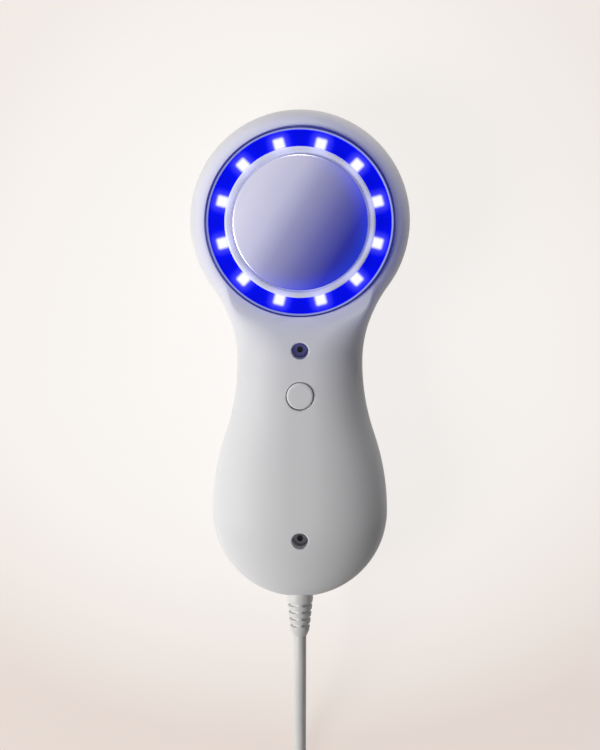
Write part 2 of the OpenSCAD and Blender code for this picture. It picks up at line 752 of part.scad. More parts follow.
module fan_frame() {
    plate_t = 2.4;
    top = fan_z + fan_t;
    color(soft_black) difference() {
        union() {
            difference() {
                union() {
                    for (z = [fan_z, top - plate_t]) translate([0, 0, z]) fan_flange(plate_t);
                    translate([0, 0, fan_z]) cylinder(d = fan_side, h = fan_t);
                }
                translate([0, 0, fan_z - past]) cylinder(d = duct_d, h = fan_t + 2 * past);
            }
            intersection() {
                translate([0, 0, top - spider_t]) cylinder(d = duct_d + 1, h = spider_t);
                for (a = [45 : 90 : 135]) rotate(a)
                    translate([-fan_side / 2, -1.2, top - spider_t]) cube([fan_side, 2.4, spider_t]);
            }
            translate([0, 0, top - spider_t]) cylinder(d = hub_d, h = spider_t);
            translate([0, 0, bearing_z]) cylinder(r = bearing_r + 1, h = top - bearing_z);
        }
        translate([0, 0, bearing_z - past]) cylinder(r = bearing_r, h = bearing_h + past);
        at_corners(fan_screw_at, fan_screw_at)
            translate([0, 0, fan_z - past]) cylinder(d = screw_d + 2 * screw_gap, h = fan_t + 2 * past);
    }
}

module fan_flange(t) {
    corner = 3;
    inner = fan_side / 2 - corner;
    translate([-inner, -fan_side / 2, 0]) cube([2 * inner, fan_side, t]);
    translate([-fan_side / 2, -inner, 0]) cube([fan_side, 2 * inner, t]);
    at_corners(inner, inner) cylinder(r = corner, h = t);
}

module fan_bearing() {
    color(brass) translate([0, 0, bearing_z]) tube(bearing_r, shaft_d / 2 + shaft_gap, bearing_h);
}

module fan_stator() {
    core_z = bearing_z + 0.6;
    color([0.45, 0.3, 0.15]) difference() {
        intersection() {
            translate([0, 0, core_z]) cylinder(r = hub_d / 2 - cup_wall - 0.5, h = stator_h);
            union() {
                translate([0, 0, core_z]) cylinder(r = bearing_r + 2.4, h = stator_h);
                for (a = [0, 90]) rotate(a) translate([-hub_d / 2, -1.3, core_z]) cube([hub_d, 2.6, stator_h]);
                difference() {
                    translate([0, 0, core_z]) cylinder(r = hub_d / 2, h = stator_h);
                    translate([0, 0, core_z - past]) cylinder(r = hub_d / 2 - cup_wall - 1.7, h = stator_h + 2 * past);
                    for (a = [45, 135]) rotate(a)
                        translate([-hub_d, -1, core_z - past]) cube([2 * hub_d, 2, stator_h + 2 * past]);
                }
            }
        }
        translate([0, 0, core_z - past]) cylinder(r = bearing_r + 1, h = stator_h + 2 * past);
    }
}

module fan_rotor() {
    cup_z = fan_z + cup_lift;
    cup_h = fan_t - spider_t - cup_lift - 0.5;
    color(soft_black) {
        difference() {
            translate([0, 0, cup_z]) cylinder(d = hub_d, h = cup_h);
            translate([0, 0, cup_z + cup_wall]) cylinder(r = hub_d / 2 - cup_wall, h = cup_h);
            translate([0, 0, cup_z - past]) cylinder(d = shaft_d, h = cup_wall + 2 * past);
        }
        intersection() {
            translate([0, 0, cup_z]) tube(duct_d / 2 - tip_gap, hub_d / 2 - 0.4, cup_h);
            union() {
                for (i = [0 : blades - 1]) rotate(i * 360 / blades) blade(cup_z + cup_h / 2);
            }
        }
    }
}

// One curved blade that runs outwards along X, pitched at 45 degrees
module blade(z) {
    curve_r = 8;
    reach = 36;
    translate([0, 0, z]) rotate([90, 0, 90]) rotate(45) translate([0, -curve_r, 0])
        linear_extrude(height = duct_d / 2) polygon(concat(
            [for (a = [-reach : 12 : reach]) (curve_r + blade_t / 2) * [sin(a), cos(a)]],
            [for (a = [reach : -12 : -reach]) (curve_r - blade_t / 2) * [sin(a), cos(a)]]));
}

module fan_shaft() {
    color("silver") translate([0, 0, fan_z + cup_lift])
        cylinder(d = shaft_d, h = bearing_z + bearing_h - air - fan_z - cup_lift);
}

module fan_screws() {
    color("silver") at_corners(fan_screw_at, fan_screw_at)
        translate([0, 0, fan_z]) screw_up(screw_d, fan_t + fan_bite - 0.4);
}

module main_board() {
    color(board_green) difference() {
        translate([-board_w / 2, board_y - board_l, board_z]) cube([board_w, board_l, board_t]);
        board_places() translate([0, 0, board_z - past]) cylinder(d = small_screw_d + 2 * screw_gap, h = board_t + 2 * past);
    }
}

// A flat package with a row of legs along two sides
module chip(size, legs) {
    translate([-size[1] / 2, -size[0] / 2, chip_lift]) cube([size[1], size[0], size[2]]);
    for (side = [-1, 1]) for (i = [0 : legs - 1])
        translate([
            side * size[1] / 2 + (side - 1) * leg_size[0] / 2 - side * chip_lift,
            -size[0] / 2 + (i + 0.5) * size[0] / legs - leg_size[1] / 2, 0])
            cube(leg_size);
}

module board_chips() {
    color(soft_black) translate([0, board_y, board_top])
        for (c = chips) translate([c[0][0], c[0][1], 0]) chip(c[1], c[2]);
}

module board_capacitor() {
    color([0.15, 0.2, 0.35]) translate([cap_place[0], board_y + cap_place[1], board_top]) {
        cylinder(d = cap_d, h = cap_h);
        translate([-cap_d / 2 - 0.15, -cap_d / 2 - 0.15, 0]) cube([cap_d + 0.3, cap_d + 0.3, 0.8]);
    }
}

module board_inductor() {
    color([0.25, 0.25, 0.27]) translate([inductor_place[0], board_y + inductor_place[1], board_top]) difference() {
        translate([-coil_side / 2, -coil_side / 2, 0]) cube([coil_side, coil_side, 0.55 * coil_side]);
        translate([0, 0, 0.45 * coil_side]) cylinder(d = 0.75 * coil_side, h = coil_side);
    }
}

// Sockets for the wires: fan, lamps and module at the board's upper end, the lead at its lower end
module wire_sockets() {
    color("ivory") {
        for (side = [-1, 1]) translate([side * socket_at, board_y - 2.6, board_top]) wire_socket(socket_w);
        translate([0, board_y - board_l + 2.6, board_top]) rotate(180) wire_socket(lead_socket_w);
    }
}

module wire_socket(w) {
    translate([-w / 2, -2.4, 0]) difference() {
        cube([w, 4.8, socket_h]);
        translate([0.6, 1.2, 0.7]) cube([w - 1.2, 4.8, socket_h - 1.4]);
    }
}

// A round tube swept along points, with flat ends square to its first and last stretch
module swept(points, r, sides) {
    n = len(points);
    ways = [for (i = [0 : n - 1])
        let (way = points[min(i + 1, n - 1)] - points[max(i - 1, 0)]) way / norm(way)];
    rings = [for (i = [0 : n - 1])
        let (
            way = ways[i],
            across = cross(way, abs(way[2]) > 0.9 ? [1, 0, 0] : [0, 0, 1]),
            u = across / norm(across),
            v = cross(u, way)
        )
        each [for (k = [0 : sides - 1])
            let (a = 360 * (k + 0.5) / sides) points[i] + r * (cos(a) * u + sin(a) * v)]];
    sheath = [for (i = [0 : n - 2]) for (k = [0 : sides - 1])
        let (a = i * sides + k, b = i * sides + (k + 1) % sides)
        each [[a, b + sides, a + sides], [a, b, b + sides]]];
    first = [for (k = [1 : sides - 2]) [0, k + 1, k]];
    last = [for (k = [1 : sides - 2]) [for (c = [0, k, k + 1]) (n - 1) * sides + c]];
    polyhedron(points = rings, faces = concat(sheath, first, last));
}

// Wires in the body: two to the module, two to the fan, two to the lamps and two from the lead
module inner_wires() {
    z = board_top + socket_h / 2;
    socket_y = board_y - 2.6;
    color("firebrick") for (x = module_wires) swept(concat(
        [[x, socket_y, z]],
        [for (p = module_wire_route) [x, p[0], sink_top + p[1]]],
        [[x, -tec_side / 2 - 0.1, sink_top + module_wire_rise]]), 0.65, 6);
    color("black") for (x = fan_wires) swept(concat(
        [[x, socket_y, z]],
        [for (p = fan_wire_route) [x, p[0], fan_z + p[1]]],
        [[x, -fan_side / 2 - 0.1, fan_z + fan_wire_rise]]), 0.5, 6);
    color("royalblue") for (x = lamp_wires) swept(concat(
        [[x, socket_y, z]],
        [for (p = lamp_wire_route) [x, p[0], light_floor_z - p[1]]]), 0.5, 6);
    color("firebrick") for (side = [-1, 1]) swept(concat(
        [[side * 1.2, tail_end + flange_in + flange_t, split_z]],
        [for (p = lead_wire_route) [side * p[0], p[1], split_z + p[2]]],
        [[side * 2, board_y - board_l + 2.6, z]]), 0.65, 6);
}

module board_screws() {
    color("silver") board_places() translate([0, 0, board_top]) mirror([0, 0, 1])
        screw_up(small_screw_d, board_t + small_bite - 0.4);
}

module switch_body() {
    side = switch_side;
    well = plunger_sunk + button_travel + 0.2;
    color(soft_black) translate([0, button_y, board_top]) difference() {
        translate([-side / 2, -side / 2, 0]) cube([side, side, switch_h]);
        translate([0, 0, switch_h - well]) cylinder(d = plunger_d + air, h = well + past);
    }
}

module switch_plunger() {
    color([0.85, 0.6, 0.2]) translate([0, button_y, board_top + switch_h - plunger_sunk])
        cylinder(d = plunger_d, h = plunger_sunk + plunger_rise);
}

module button_cap() {
    r = button_hole_d / 2 - button_gap;
    edge = 0.5;
    foot = board_top + switch_h + plunger_rise;
    brim = front_z(button_y) - sleeve_h - air;
    top = front_z(button_y) + button_rise;
    color(shell_white) translate([0, button_y, 0]) rotate_extrude() polygon(concat(
        [[0, foot], [plunger_d / 2, foot], [plunger_d / 2, brim - 0.8], [r + 0.9, brim - 0.8], [r + 0.9, brim], [r, brim]],
        [for (a = [0 : 22.5 : 90]) [r - edge + edge * cos(a), top - edge + edge * sin(a)]],
        [[0, top]]));
}

module housing_screws() {
    color([0.15, 0.15, 0.18]) for (y = [upper_screw_y, lower_screw_y])
        translate([0, y, front_z(y) - recess_depth]) mirror([0, 0, 1])
            housing_screw(front_z(y) - recess_depth - split_z + screw_bite - 0.4);
}

module housing_screw(shank) {
    translate([0, 0, -screw_head_h]) difference() {
        union() {
            cylinder(d = recess_d - 0.4, h = screw_head_h);
            cylinder(d = screw_d, h = screw_head_h + shank);
        }
        translate([0, 0, -past]) cylinder(d = 0.8 * screw_d, h = past + 0.6 * screw_head_h, $fn = 6);
    }
}

// A tapered sleeve with grooves, turned about its own axis and laid along -Y
module strain_relief() {
    root_r = relief_d / 2;
    tip_r = relief_tip_d / 2;
    groove_w = 0.95;
    groove_depth = 0.9;
    collar_l = 0.8;
    cone_l = 1.8;
    pitch = (relief_l - cone_l - collar_l) / (relief_grooves + 0.7);
    inner_l = flange_in + flange_t;
    color(shell_white) translate([0, tail_end + inner_l, split_z]) rotate([90, 0, 0]) difference() {
        rotate_extrude() polygon(concat(
            [[0, 0], [flange_d / 2, 0], [flange_d / 2, flange_t], [root_r, flange_t], [root_r, inner_l + collar_l]],
            [for (i = [1 : relief_grooves])
                let (z = inner_l + collar_l + i * pitch, r = mix(root_r, tip_r, i * pitch / (relief_l - cone_l)))
                each [[r, z - groove_w], [r - groove_depth, z - groove_w], [r - groove_depth, z], [r, z]]],
            [[tip_r, inner_l + relief_l - cone_l], [lead_r + 0.3, inner_l + relief_l], [0, inner_l + relief_l]]));
        for (side = [-1, 1]) translate([side * 1.2, 0, -past]) cylinder(d = 1.4, h = past + 1, $fn = 16);
    }
}

// One point of the wound lead, after a share of its turns
function wound_point(turn) =
    let (
        r = wound_out_r - wound_pitch * min(turn, wound_turns - turn),
        climb = smooth((turn - wound_turns / 2 + 0.25) / 0.5),
        a = wound_start - 360 * turn
    )
    [wound_at[0] + r * cos(a), wound_at[1] + r * sin(a), mix(low_z, high_z, climb)];

function wound_way(angle) = [sin(angle), -cos(angle), 0];

wound_end = wound_start - 360 * wound_turns;
wound_first = wound_point(0) - lead_d * wound_way(wound_start);
wound_last = wound_point(wound_turns) + lead_d * wound_way(wound_end);
wound_count = floor(wound_turns * wound_rings);
wound_path = concat(
    [wound_first],
    [for (i = [0 : wound_count]) wound_point(i * wound_turns / wound_count)],
    [wound_last]);

// The least gap between turns, measured between points that are over half a turn apart
function least(list) = min([for (x = list) x]);
wound_gap = least([for (i = [1 : wound_count]) for (j = [i + wound_rings / 2 : wound_count])
    norm(wound_path[i] - wound_path[j])]) - lead_d;
echo(wound_gap = wound_gap);

module lead_coil() {
    color(shell_white) swept(wound_path, lead_r, wound_sides);
}

module power_lead() {
    color(shell_white) swept(concat([[0, relief_end, split_z]], lead_route, [wound_first]), lead_r, 8);
}

module plug_lead() {
    color(shell_white) swept(concat([wound_last], plug_route, [[plug_at[0], plug_at[1], plug_z]]), lead_r, 8);
}

// A flat band round both layers of the wound lead, with round ends
module lead_tie() {
    middle = (low_z + high_z) / 2;
    bend_r = wound_layer / 2 + lead_r + 0.15;
    reach = wound_d / 2 - wound_in_r - 1.4;
    color(soft_black) translate([wound_at[0], wound_at[1], middle]) rotate(200)
        translate([wound_d / 2, tie_w / 2, 0]) rotate([90, 0, 0]) linear_extrude(tie_w) difference() {
            stadium(reach, bend_r + tie_t);
            stadium(reach, bend_r);
        }
}

module stadium(reach, r) {
    for (side = [-1, 1]) translate([side * reach, 0]) circle(r = r);
    translate([-reach, -r]) square([2 * reach, 2 * r]);
}

module plug_placed() {
    translate([plug_at[0], plug_at[1], plug_z]) rotate([90, 0, 0]) children();
}

module plug_grip() {
    r = grip_d / 2;
    back = neck_l + grip_l;
    color(shell_white) plug_placed() difference() {
        rotate_extrude() polygon(concat(
            [[0, 0], [lead_r + 0.5, 0], [lead_r + 1, neck_l - 1], [r - 0.9, neck_l], [r, neck_l + 1.4]],
            [for (i = [0 : 4]) let (z = neck_l + 5 + 2.6 * i) each [[r, z], [r - 0.5, z + 0.3], [r - 0.5, z + 1], [r, z + 1.3]]],
            [[r, back - 0.5], [r - 0.5, back], [0, back]]));
        translate([0, 0, back - barrel_foot_l]) cylinder(d = barrel_foot_d, h = barrel_foot_l + past);
    }
}

module plug_barrel() {
    color("silver") barrel_placed() difference() {
        union() {
            cylinder(d = barrel_foot_d, h = barrel_foot_l);
            cylinder(d = barrel_d, h = barrel_foot_l + barrel_l);
        }
        translate([0, 0, -past]) cylinder(r = barrel_d / 2 - barrel_wall, h = barrel_foot_l + barrel_l + 2 * past);
    }
}

// The barrel's foot is buried in the grip and flush with the grip's face
module barrel_placed() {
    plug_placed() translate([0, 0, neck_l + grip_l - barrel_foot_l]) children();
}

module plug_insulator() {
    color(soft_black) barrel_placed()
        tube(barrel_d / 2 - barrel_wall, pin_hole_d / 2 + contact_wall, barrel_foot_l + barrel_l - 0.2);
}

module plug_contact() {
    color(brass) barrel_placed()
        tube(pin_hole_d / 2 + contact_wall, pin_hole_d / 2, barrel_foot_l + barrel_l - 0.4);
}

front_housing();
rear_housing();
rear_grille();
trim_ring();
light_lens();
plate_collar();
plate_seal();
cold_plate();
lamp_board();
lamps_smd();
module_insulation();
module_ceramics();
module_pellets();
heat_sink();
plate_screws();
sink_screws();
fan_frame();
fan_bearing();
fan_stator();
fan_rotor();
fan_shaft();
fan_screws();
main_board();
board_chips();
board_capacitor();
board_inductor();
wire_sockets();
inner_wires();
board_screws();
switch_body();
switch_plunger();
button_cap();
housing_screws();
strain_relief();
power_lead();
lead_coil();
lead_tie();
plug_lead();
plug_grip();
plug_barrel();
plug_insulator();
plug_contact();
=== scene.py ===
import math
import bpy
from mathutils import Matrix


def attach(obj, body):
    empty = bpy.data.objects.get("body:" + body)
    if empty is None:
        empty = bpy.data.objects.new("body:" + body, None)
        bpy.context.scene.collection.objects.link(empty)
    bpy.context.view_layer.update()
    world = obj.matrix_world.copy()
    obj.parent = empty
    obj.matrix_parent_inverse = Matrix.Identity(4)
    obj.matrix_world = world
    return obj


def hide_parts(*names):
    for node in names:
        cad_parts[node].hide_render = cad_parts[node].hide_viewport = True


bl_info = {
    "name": "Cooling facial massager",
    "version": (1, 0, 0),
    "blender": (4, 5, 0),
    "location": "3D View > Sidebar > Massager",
    "description": "Builds the visible pieces of a corded cooling facial massager over its fixed frame",
    "category": "Add Mesh",
}

from collections import namedtuple

import bmesh
import bpy
from mathutils import Matrix, Vector

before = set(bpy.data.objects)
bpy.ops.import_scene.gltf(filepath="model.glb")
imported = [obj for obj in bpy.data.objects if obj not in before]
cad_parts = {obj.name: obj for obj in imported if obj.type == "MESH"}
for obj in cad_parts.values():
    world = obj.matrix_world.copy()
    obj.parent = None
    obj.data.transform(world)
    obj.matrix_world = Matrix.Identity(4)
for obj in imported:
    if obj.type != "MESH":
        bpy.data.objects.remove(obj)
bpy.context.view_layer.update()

# Shapes are worked in millimetres, and written to their meshes in metres
MM = 0.001

# Height of the parting line between the two housings, on which the lead leaves the tail
SPLIT_Z = 22.0
# Places on the middle line of the handle
SCREW_YS = (-44.0, -110.0)
BUTTON_Y = -59.5
RECESS_DEPTH = 7.5
LAMP_COUNT = 12
# Radius of the hexagon sockets' corners
SOCKET_R = 1.16
# Heights in the head, from the floor of the light trough up to the edge of the cold plate
LIGHT_FLOOR_Z = 32.0
SKIRT_Z = 32.2
COLLAR_FOOT_Z = 33.2
TRIM_SEAT_Z = 33.8
LENS_Z = 34.8
BEZEL_Z = 35.0
TRIM_Z = 36.6
SEAL_Z = 37.5
COLLAR_Z = 38.4
PLATE_EDGE_Z = 39.4
# How far the trough under the lens is narrower than the trim's opening
LENS_LEDGE = 0.75
# How far a cutter reaches past what it cuts
CLEAR = 2.0
# How far the ring's light, painted on the housing and the upper screw as their own light, spills over the
# housing and close to the trim, in metres, and the share of the wide spill at the upper screw
WIDE_SPILL = 0.012
NEAR_SPILL = 0.0016
SPILL_AT_SCREW = 0.37


def mm(value):
    """A setting's length in millimetres"""
    return value / MM


def linear(red, green, blue):
    """The linear value of a screen colour, whose parts run from 0 to 255"""
    parts = [part / 255 for part in (red, green, blue)]
    return tuple(p / 12.92 if p <= 0.04045 else ((p + 0.055) / 1.055) ** 2.4 for p in parts)


def length(name, description, value, low, high):
    """A setting in metres, from millimetres"""
    return bpy.props.FloatProperty(name=name, description=description, default=value * MM,
                                   min=low * MM, max=high * MM, unit="LENGTH", precision=5)


def colour(name, description, value):
    return bpy.props.FloatVectorProperty(name=name, description=description, default=value,
                                         min=0.0, max=1.0, size=3, subtype="COLOR")


def power(name, description, value):
    return bpy.props.FloatProperty(name=name, description=description, default=value, min=0.0, unit="POWER")


class HousingSettings(bpy.types.PropertyGroup):
    """The white body of head and handle"""
    head_radius: length("Head radius", "Radius of the round head", 37.9, 37, 39)
    tail_radius: length("Tail radius", "Radius of the handle's round end", 30.8, 29, 32)
    body_length: length("Body length", "From the top of the head to the end of the tail", 171, 165, 178)
    waist_width: length("Waist width", "Width of the handle where it is narrowest", 43.6, 41, 46)
    waist_drop: length("Waist drop", "From the middle of the head down to the waist", 48.8, 46, 52)
    wall: length("Wall", "Thickness of the housings", 2.2, 1.8, 2.6)
    parting_gap: length("Parting groove", "Depth of the groove between the two housings", 0.35, 0.1, 0.6)
    edge: length("Edge rounding", "Rounding of the openings' edges", 0.35, 0.1, 0.6)
    shell_colour: colour("Housing colour", "Colour of the moulded housings", linear(230, 230, 232))
    # The recess colour is painted shade: darker than the housing deep inside the screws' recesses
    recess_shade_colour: colour("Recess colour", "Colour deep inside the screw recesses", linear(204, 204, 210))


class RingSettings(bpy.types.PropertyGroup):
    """The lit ring and the plate inside it"""
    trim_radius: length("Trim radius", "Outer radius of the ring's trim", 32.05, 31.5, 32.2)
    lens_radius: length("Lens radius", "Radius of the trim's opening over the lens", 30.7, 30, 31)
    collar_radius: length("Collar radius", "Outer radius of the white collar", 25.4, 25, 26)
    plate_radius: length("Plate radius", "Radius of the cold plate", 22.75, 22, 23.2)
    plate_dome: length("Plate dome", "How far the plate's middle stands over its edge", 1, 0.4, 1.6)
    lamp_length: length("Lamp length", "Length of a lamp's bright spot", 2.2, 2, 4)
    lamp_edge: length("Lamp edge", "Width over which a bright spot fades at its sides", 1.3, 0.3, 1.5)
    lamp_radius: length("Lamp place", "Distance of the lamps from the middle of the head", 27, 26.5, 28)
    halo_reach: length("Halo reach", "How far a lamp's halo spreads in the lens", 1.65, 0.4, 3)
    band_colour: colour("Band colour", "Colour of the lens between the lamps", linear(2, 10, 214))
    halo_colour: colour("Halo colour", "Colour of the lens beside a lamp", linear(104, 104, 255))
    trim_colour: colour("Trim colour", "Colour of the trim's outer edge", linear(24, 28, 118))
    # The crest colour is a painted highlight along the trim's rounded crest
    crest_highlight_colour: colour("Crest colour", "Colour of the trim's lit crest", linear(176, 184, 236))


class FittingSettings(bpy.types.PropertyGroup):
    """The button, the screws and the strain relief"""
    button_hole: length("Button hole", "Radius of the button's hole", 4.9, 4.7, 5.2)
    button_gap: length("Button gap", "Gap round the button", 0.3, 0.2, 0.4)
    button_edge: length("Button edge", "Rounding of the button's edge", 0.75, 0.2, 0.9)
    recess_radius: length("Recess radius", "Radius of the recess over a screw", 2.9, 2.8, 3.1)
    relief_root: length("Strain relief root", "Radius of the strain relief at the tail", 4.7, 4.5, 5)
    relief_tip: length("Strain relief tip", "Radius of the strain relief at its free end", 3.3, 3.2, 3.6)
    relief_length: length("Strain relief length", "Length of the strain relief outside the tail",
                          14.5, 14, 15.5)
    # The screws' colour is blackened steel made lighter by painted light, standing in for light the deep
    # recesses keep out
    screw_colour_with_painted_light: colour("Screw colour", "Colour of the blackened screws", linear(148, 148, 152))


class LeadSettings(bpy.types.PropertyGroup):
    """The power lead and its plug"""
    diameter: length("Lead diameter", "Diameter of the lead", 4.5, 4.2, 4.6)
    lead_colour: colour("Lead colour", "Colour of the soft white parts", linear(226, 225, 223))
    grip_radius: length("Grip radius", "Radius of the plug's grip", 4.8, 4.6, 4.9)


class StageSettings(bpy.types.PropertyGroup):
    """Camera, lamps and floor"""
    near_colour: colour("Near floor", "Colour of the floor behind the object", linear(255, 252, 249))
    middle_colour: colour("Middle floor", "Colour of the floor beside the object", linear(251, 246, 242))
    far_colour: colour("Far floor", "Colour of the floor below the object", linear(234, 222, 215))
    key_power: power("Key power", "Power of the soft lamp on the left", 5.9)
    top_power: power("Top power", "Power of the low lamp beyond the head", 2.2)
    side_power: power("Side power", "Power of the weak lamp on the right", 0.4)
    fill_level: bpy.props.FloatProperty(name="Fill level", description="Level of the light from all sides",
                                        default=0.03, min=0.0, max=1.0, subtype="FACTOR")
    view_angle: bpy.props.FloatProperty(name="View tilt", description="Tilt of the camera towards the head",
                                        default=math.radians(7.8), subtype="ANGLE")


def shaded(value, share):
    """A share of a colour's light"""
    return tuple(part * share for part in value)


def opaque(value):
    """A colour with its fourth part"""
    return (*value, 1.0)


def settings(group):
    """The scene's values of one group of settings"""
    return getattr(bpy.context.scene, "massager_" + group)


# Outline and skins of the body

def mix(a, b, share):
    return a + (b - a) * share


def smooth(share):
    v = min(1.0, max(0.0, share))
    return v * v * (3 - 2 * v)


def on_circle(middle, radius, angle):
    """The point of a circle at an angle in radians"""
    return middle[0] + radius * math.cos(angle), middle[1] + radius * math.sin(angle)


def arc(middle, radius, start, end, steps):
    """Points of an arc between two angles in degrees, without the last one"""
    angles = [math.radians(mix(start, end, i / steps)) for i in range(steps)]
    return [Vector(on_circle(middle, radius, angle)) for angle in angles]


# A housing's depths at head, waist and tail, the width of its rounded edge, and which way it faces
Skin = namedtuple("Skin", "head waist tail roll up")
FRONT = Skin(13.0, 12.0, 15.0, 5.7, 1)
REAR = Skin(22.0, 16.0, 22.0, 9.2, -1)


class Outline:
    """The body seen from the front: a round head, a hollow neck, a hollow flare and a round tail"""

    # Half the width of the flat crown along the handle, and radius of the hollow flare below the waist
    CROWN_HALF = 3.2
    FLARE_R = 78.0
    # Where the depth starts to change below the head, and the points on each arc of one side
    LEVEL_Y = -28.6
    STEPS = (72, 30, 18, 18, 44)

    def __init__(self):
        s = settings("housing")
        self.head_r = mm(s.head_radius)
        self.tail_r = mm(s.tail_radius)
        self.waist_half = mm(s.waist_width) / 2
        self.waist_y = -mm(s.waist_drop)
        self.end_y = self.head_r - mm(s.body_length)
        self.tail_y = self.end_y + self.tail_r
        # The hollow arcs of neck and flare meet upright at the waist, and run smoothly into their neighbours
        wide, drop = self.waist_half, self.waist_y
        self.neck_r = (wide ** 2 + drop ** 2 - self.head_r ** 2) / (2 * (self.head_r - wide))
        self.neck_angle = math.degrees(math.atan2(-drop, wide + self.neck_r))
        side = wide + self.FLARE_R - self.tail_r
        run = drop - self.tail_y
        self.grip_r = (side ** 2 + run ** 2 - self.FLARE_R ** 2) / (2 * (self.FLARE_R - side))
        self.flare_angle = math.degrees(math.atan2(run, side + self.grip_r))
        self.neck_top = -self.head_r * math.sin(math.radians(self.neck_angle))
        self.insets = {}
        self.outer = self.edge(0)

    def points(self, inset):
        """The right side from the top of the head to the end of the tail, drawn in by inset"""
        neck = self.waist_half + self.neck_r, self.waist_y
        hollow = self.waist_half + self.FLARE_R, self.waist_y
        grip = self.tail_r - self.grip_r, self.tail_y
        arcs = (((0, 0), self.head_r - inset, 90, -self.neck_angle),
                (neck, self.neck_r + inset, 180 - self.neck_angle, 180),
                (hollow, self.FLARE_R + inset, 180, 180 + self.flare_angle),
                (grip, self.grip_r - inset, self.flare_angle, 0),
                ((0, self.tail_y), self.tail_r - inset, 0, -90))
        points = [point for values, steps in zip(arcs, self.STEPS) for point in arc(*values, steps)]
        return points + [Vector((0, self.end_y + inset))]

    def edge(self, inset):
        """The points for an inset, worked out once"""
        if inset not in self.insets:
            self.insets[inset] = self.points(inset)
        return self.insets[inset]

    def spine_y(self, y):
        """Where the rib of an outline's point starts on the middle line"""
        if y >= self.neck_top:
            return 0.0
        if y <= self.waist_y:
            return max(y, self.tail_y)
        u = (self.neck_top - y) / (self.neck_top - self.waist_y)
        return (self.waist_y * (3 * u ** 2 - 2 * u ** 3)
                + (self.waist_y - self.neck_top) * (u ** 3 - u ** 2))

    def depth(self, y, skin):
        """Depth of a housing where a rib starts at y"""
        if y > self.waist_y:
            share = (y - self.LEVEL_Y) / (self.waist_y - self.LEVEL_Y)
            return mix(skin.head, skin.waist, smooth(share))
        share = (y - self.waist_y) / (self.tail_y - self.waist_y)
        return mix(skin.waist, skin.tail, smooth(share))

    def crown_z(self, y, skin=FRONT):
        """Height of the crown on the middle line of the handle"""
        depth = self.depth(y, skin)
        if y < self.tail_y:
            flat = self.CROWN_HALF / self.tail_r
            t = max(0.0, ((self.tail_y - y) / self.tail_r - flat) / (1 - flat))
            depth *= math.sqrt(1 - t * t)
        return SPLIT_Z + skin.up * depth

    def level_z(self, y):
        """Height of the crown before the tail rounds off, from which the recesses are measured"""
        return SPLIT_Z + self.depth(y, FRONT)

    def at(self, k, skin, inset, along):
        """The skin's point on the rib of station k, a share of the way from the rim to the crown"""
        s = self.spine_y(self.outer[k].y)
        rib = self.edge(inset)[k] - Vector((0, s))
        flat = mix(self.head_r - skin.roll, self.CROWN_HALF, smooth(s / self.waist_y)) / rib.length
        turn = math.pi / 2 * along
        t = flat + (1 - flat) * math.cos(turn)
        depth = (self.depth(s, skin) - inset) * math.sin(turn)
        return Vector((rib.x * t, s + rib.y * t, SPLIT_Z + skin.up * depth))

    def crown(self, k, skin, inset):
        """The point of the middle line that station k's rib ends at"""
        s = self.spine_y(self.outer[k].y)
        return Vector((0, s, SPLIT_Z + skin.up * (self.depth(s, skin) - inset)))


# Mesh tools

# Angle between two faces from which their edge is sharp, for most pieces and for the smooth turned ones
SHARP = math.radians(32)
SHARP_TURNED = math.radians(40)
# Distance within which vertices are joined, and length under which an edge is dropped
WELD = 0.002
SLIVER = 0.0005


def meshed(bm, name):
    """A mesh from a finished bmesh"""
    mesh = bpy.data.meshes.new(name)
    bm.to_mesh(mesh)
    bm.free()
    return mesh


def linked(name, data):
    """A new object in the scene"""
    obj = bpy.data.objects.new(name, data)
    bpy.context.scene.collection.objects.link(obj)
    return obj


def merged(bm):
    """Joins the vertices that lie on each other"""
    bmesh.ops.remove_doubles(bm, verts=bm.verts[:], dist=WELD)


def laid(bm, angle, place):
    """Lays an upright piece along Y and moves it to its place"""
    bmesh.ops.rotate(bm, verts=bm.verts[:], cent=(0, 0, 0), matrix=Matrix.Rotation(angle, 3, "X"))
    bmesh.ops.translate(bm, verts=bm.verts[:], vec=place)


def drawn_on(bm, layer, edges, place):
    """Extrudes a chain of edges and moves each new vertex to the place for its station"""
    grown = bmesh.ops.extrude_edge_only(bm, edges=edges)["geom"]
    fresh = {g for g in grown if isinstance(g, bmesh.types.BMVert)}
    for v in fresh:
        v.co = place(v[layer])
    return [g for g in grown if isinstance(g, bmesh.types.BMEdge) and set(g.verts) <= fresh]


def half_shell(outline, skin, wall, gap):
    """A closed housing with its wall, before anything is cut: one side is drawn, then mirrored"""
    outer_rows, inner_rows = 22, 10
    bm = bmesh.new()
    layer = bm.verts.layers.int.new("station")
    chain = []
    for k in range(len(outline.outer)):
        v = bm.verts.new(outline.crown(k, skin, 0))
        v[layer] = k
        chain.append(v)
    edges = [bm.edges.new(pair) for pair in zip(chain, chain[1:])]
    # Each row is an inset, a share of the way from the rim to the crown, and a rise over the rib
    groove = ((0, 0, gap), (gap * 0.35, 0, gap * 0.3), (gap, 0, 0))
    rows = [(0, j / outer_rows, 0) for j in range(outer_rows, 0, -1)]
    rows += [*groove, *((wall, j / inner_rows, 0) for j in range(inner_rows + 1))]
    for inset, along, rise in rows:
        lift = Vector((0, 0, skin.up * rise))
        edges = drawn_on(bm, layer, edges, lambda k: outline.at(k, skin, inset, along) + lift)
    drawn_on(bm, layer, edges, lambda k: outline.crown(k, skin, wall))
    bmesh.ops.mirror(bm, geom=bm.verts[:] + bm.edges[:] + bm.faces[:], matrix=Matrix.Identity(4),
                     merge_dist=0.001, axis="X")
    return bm


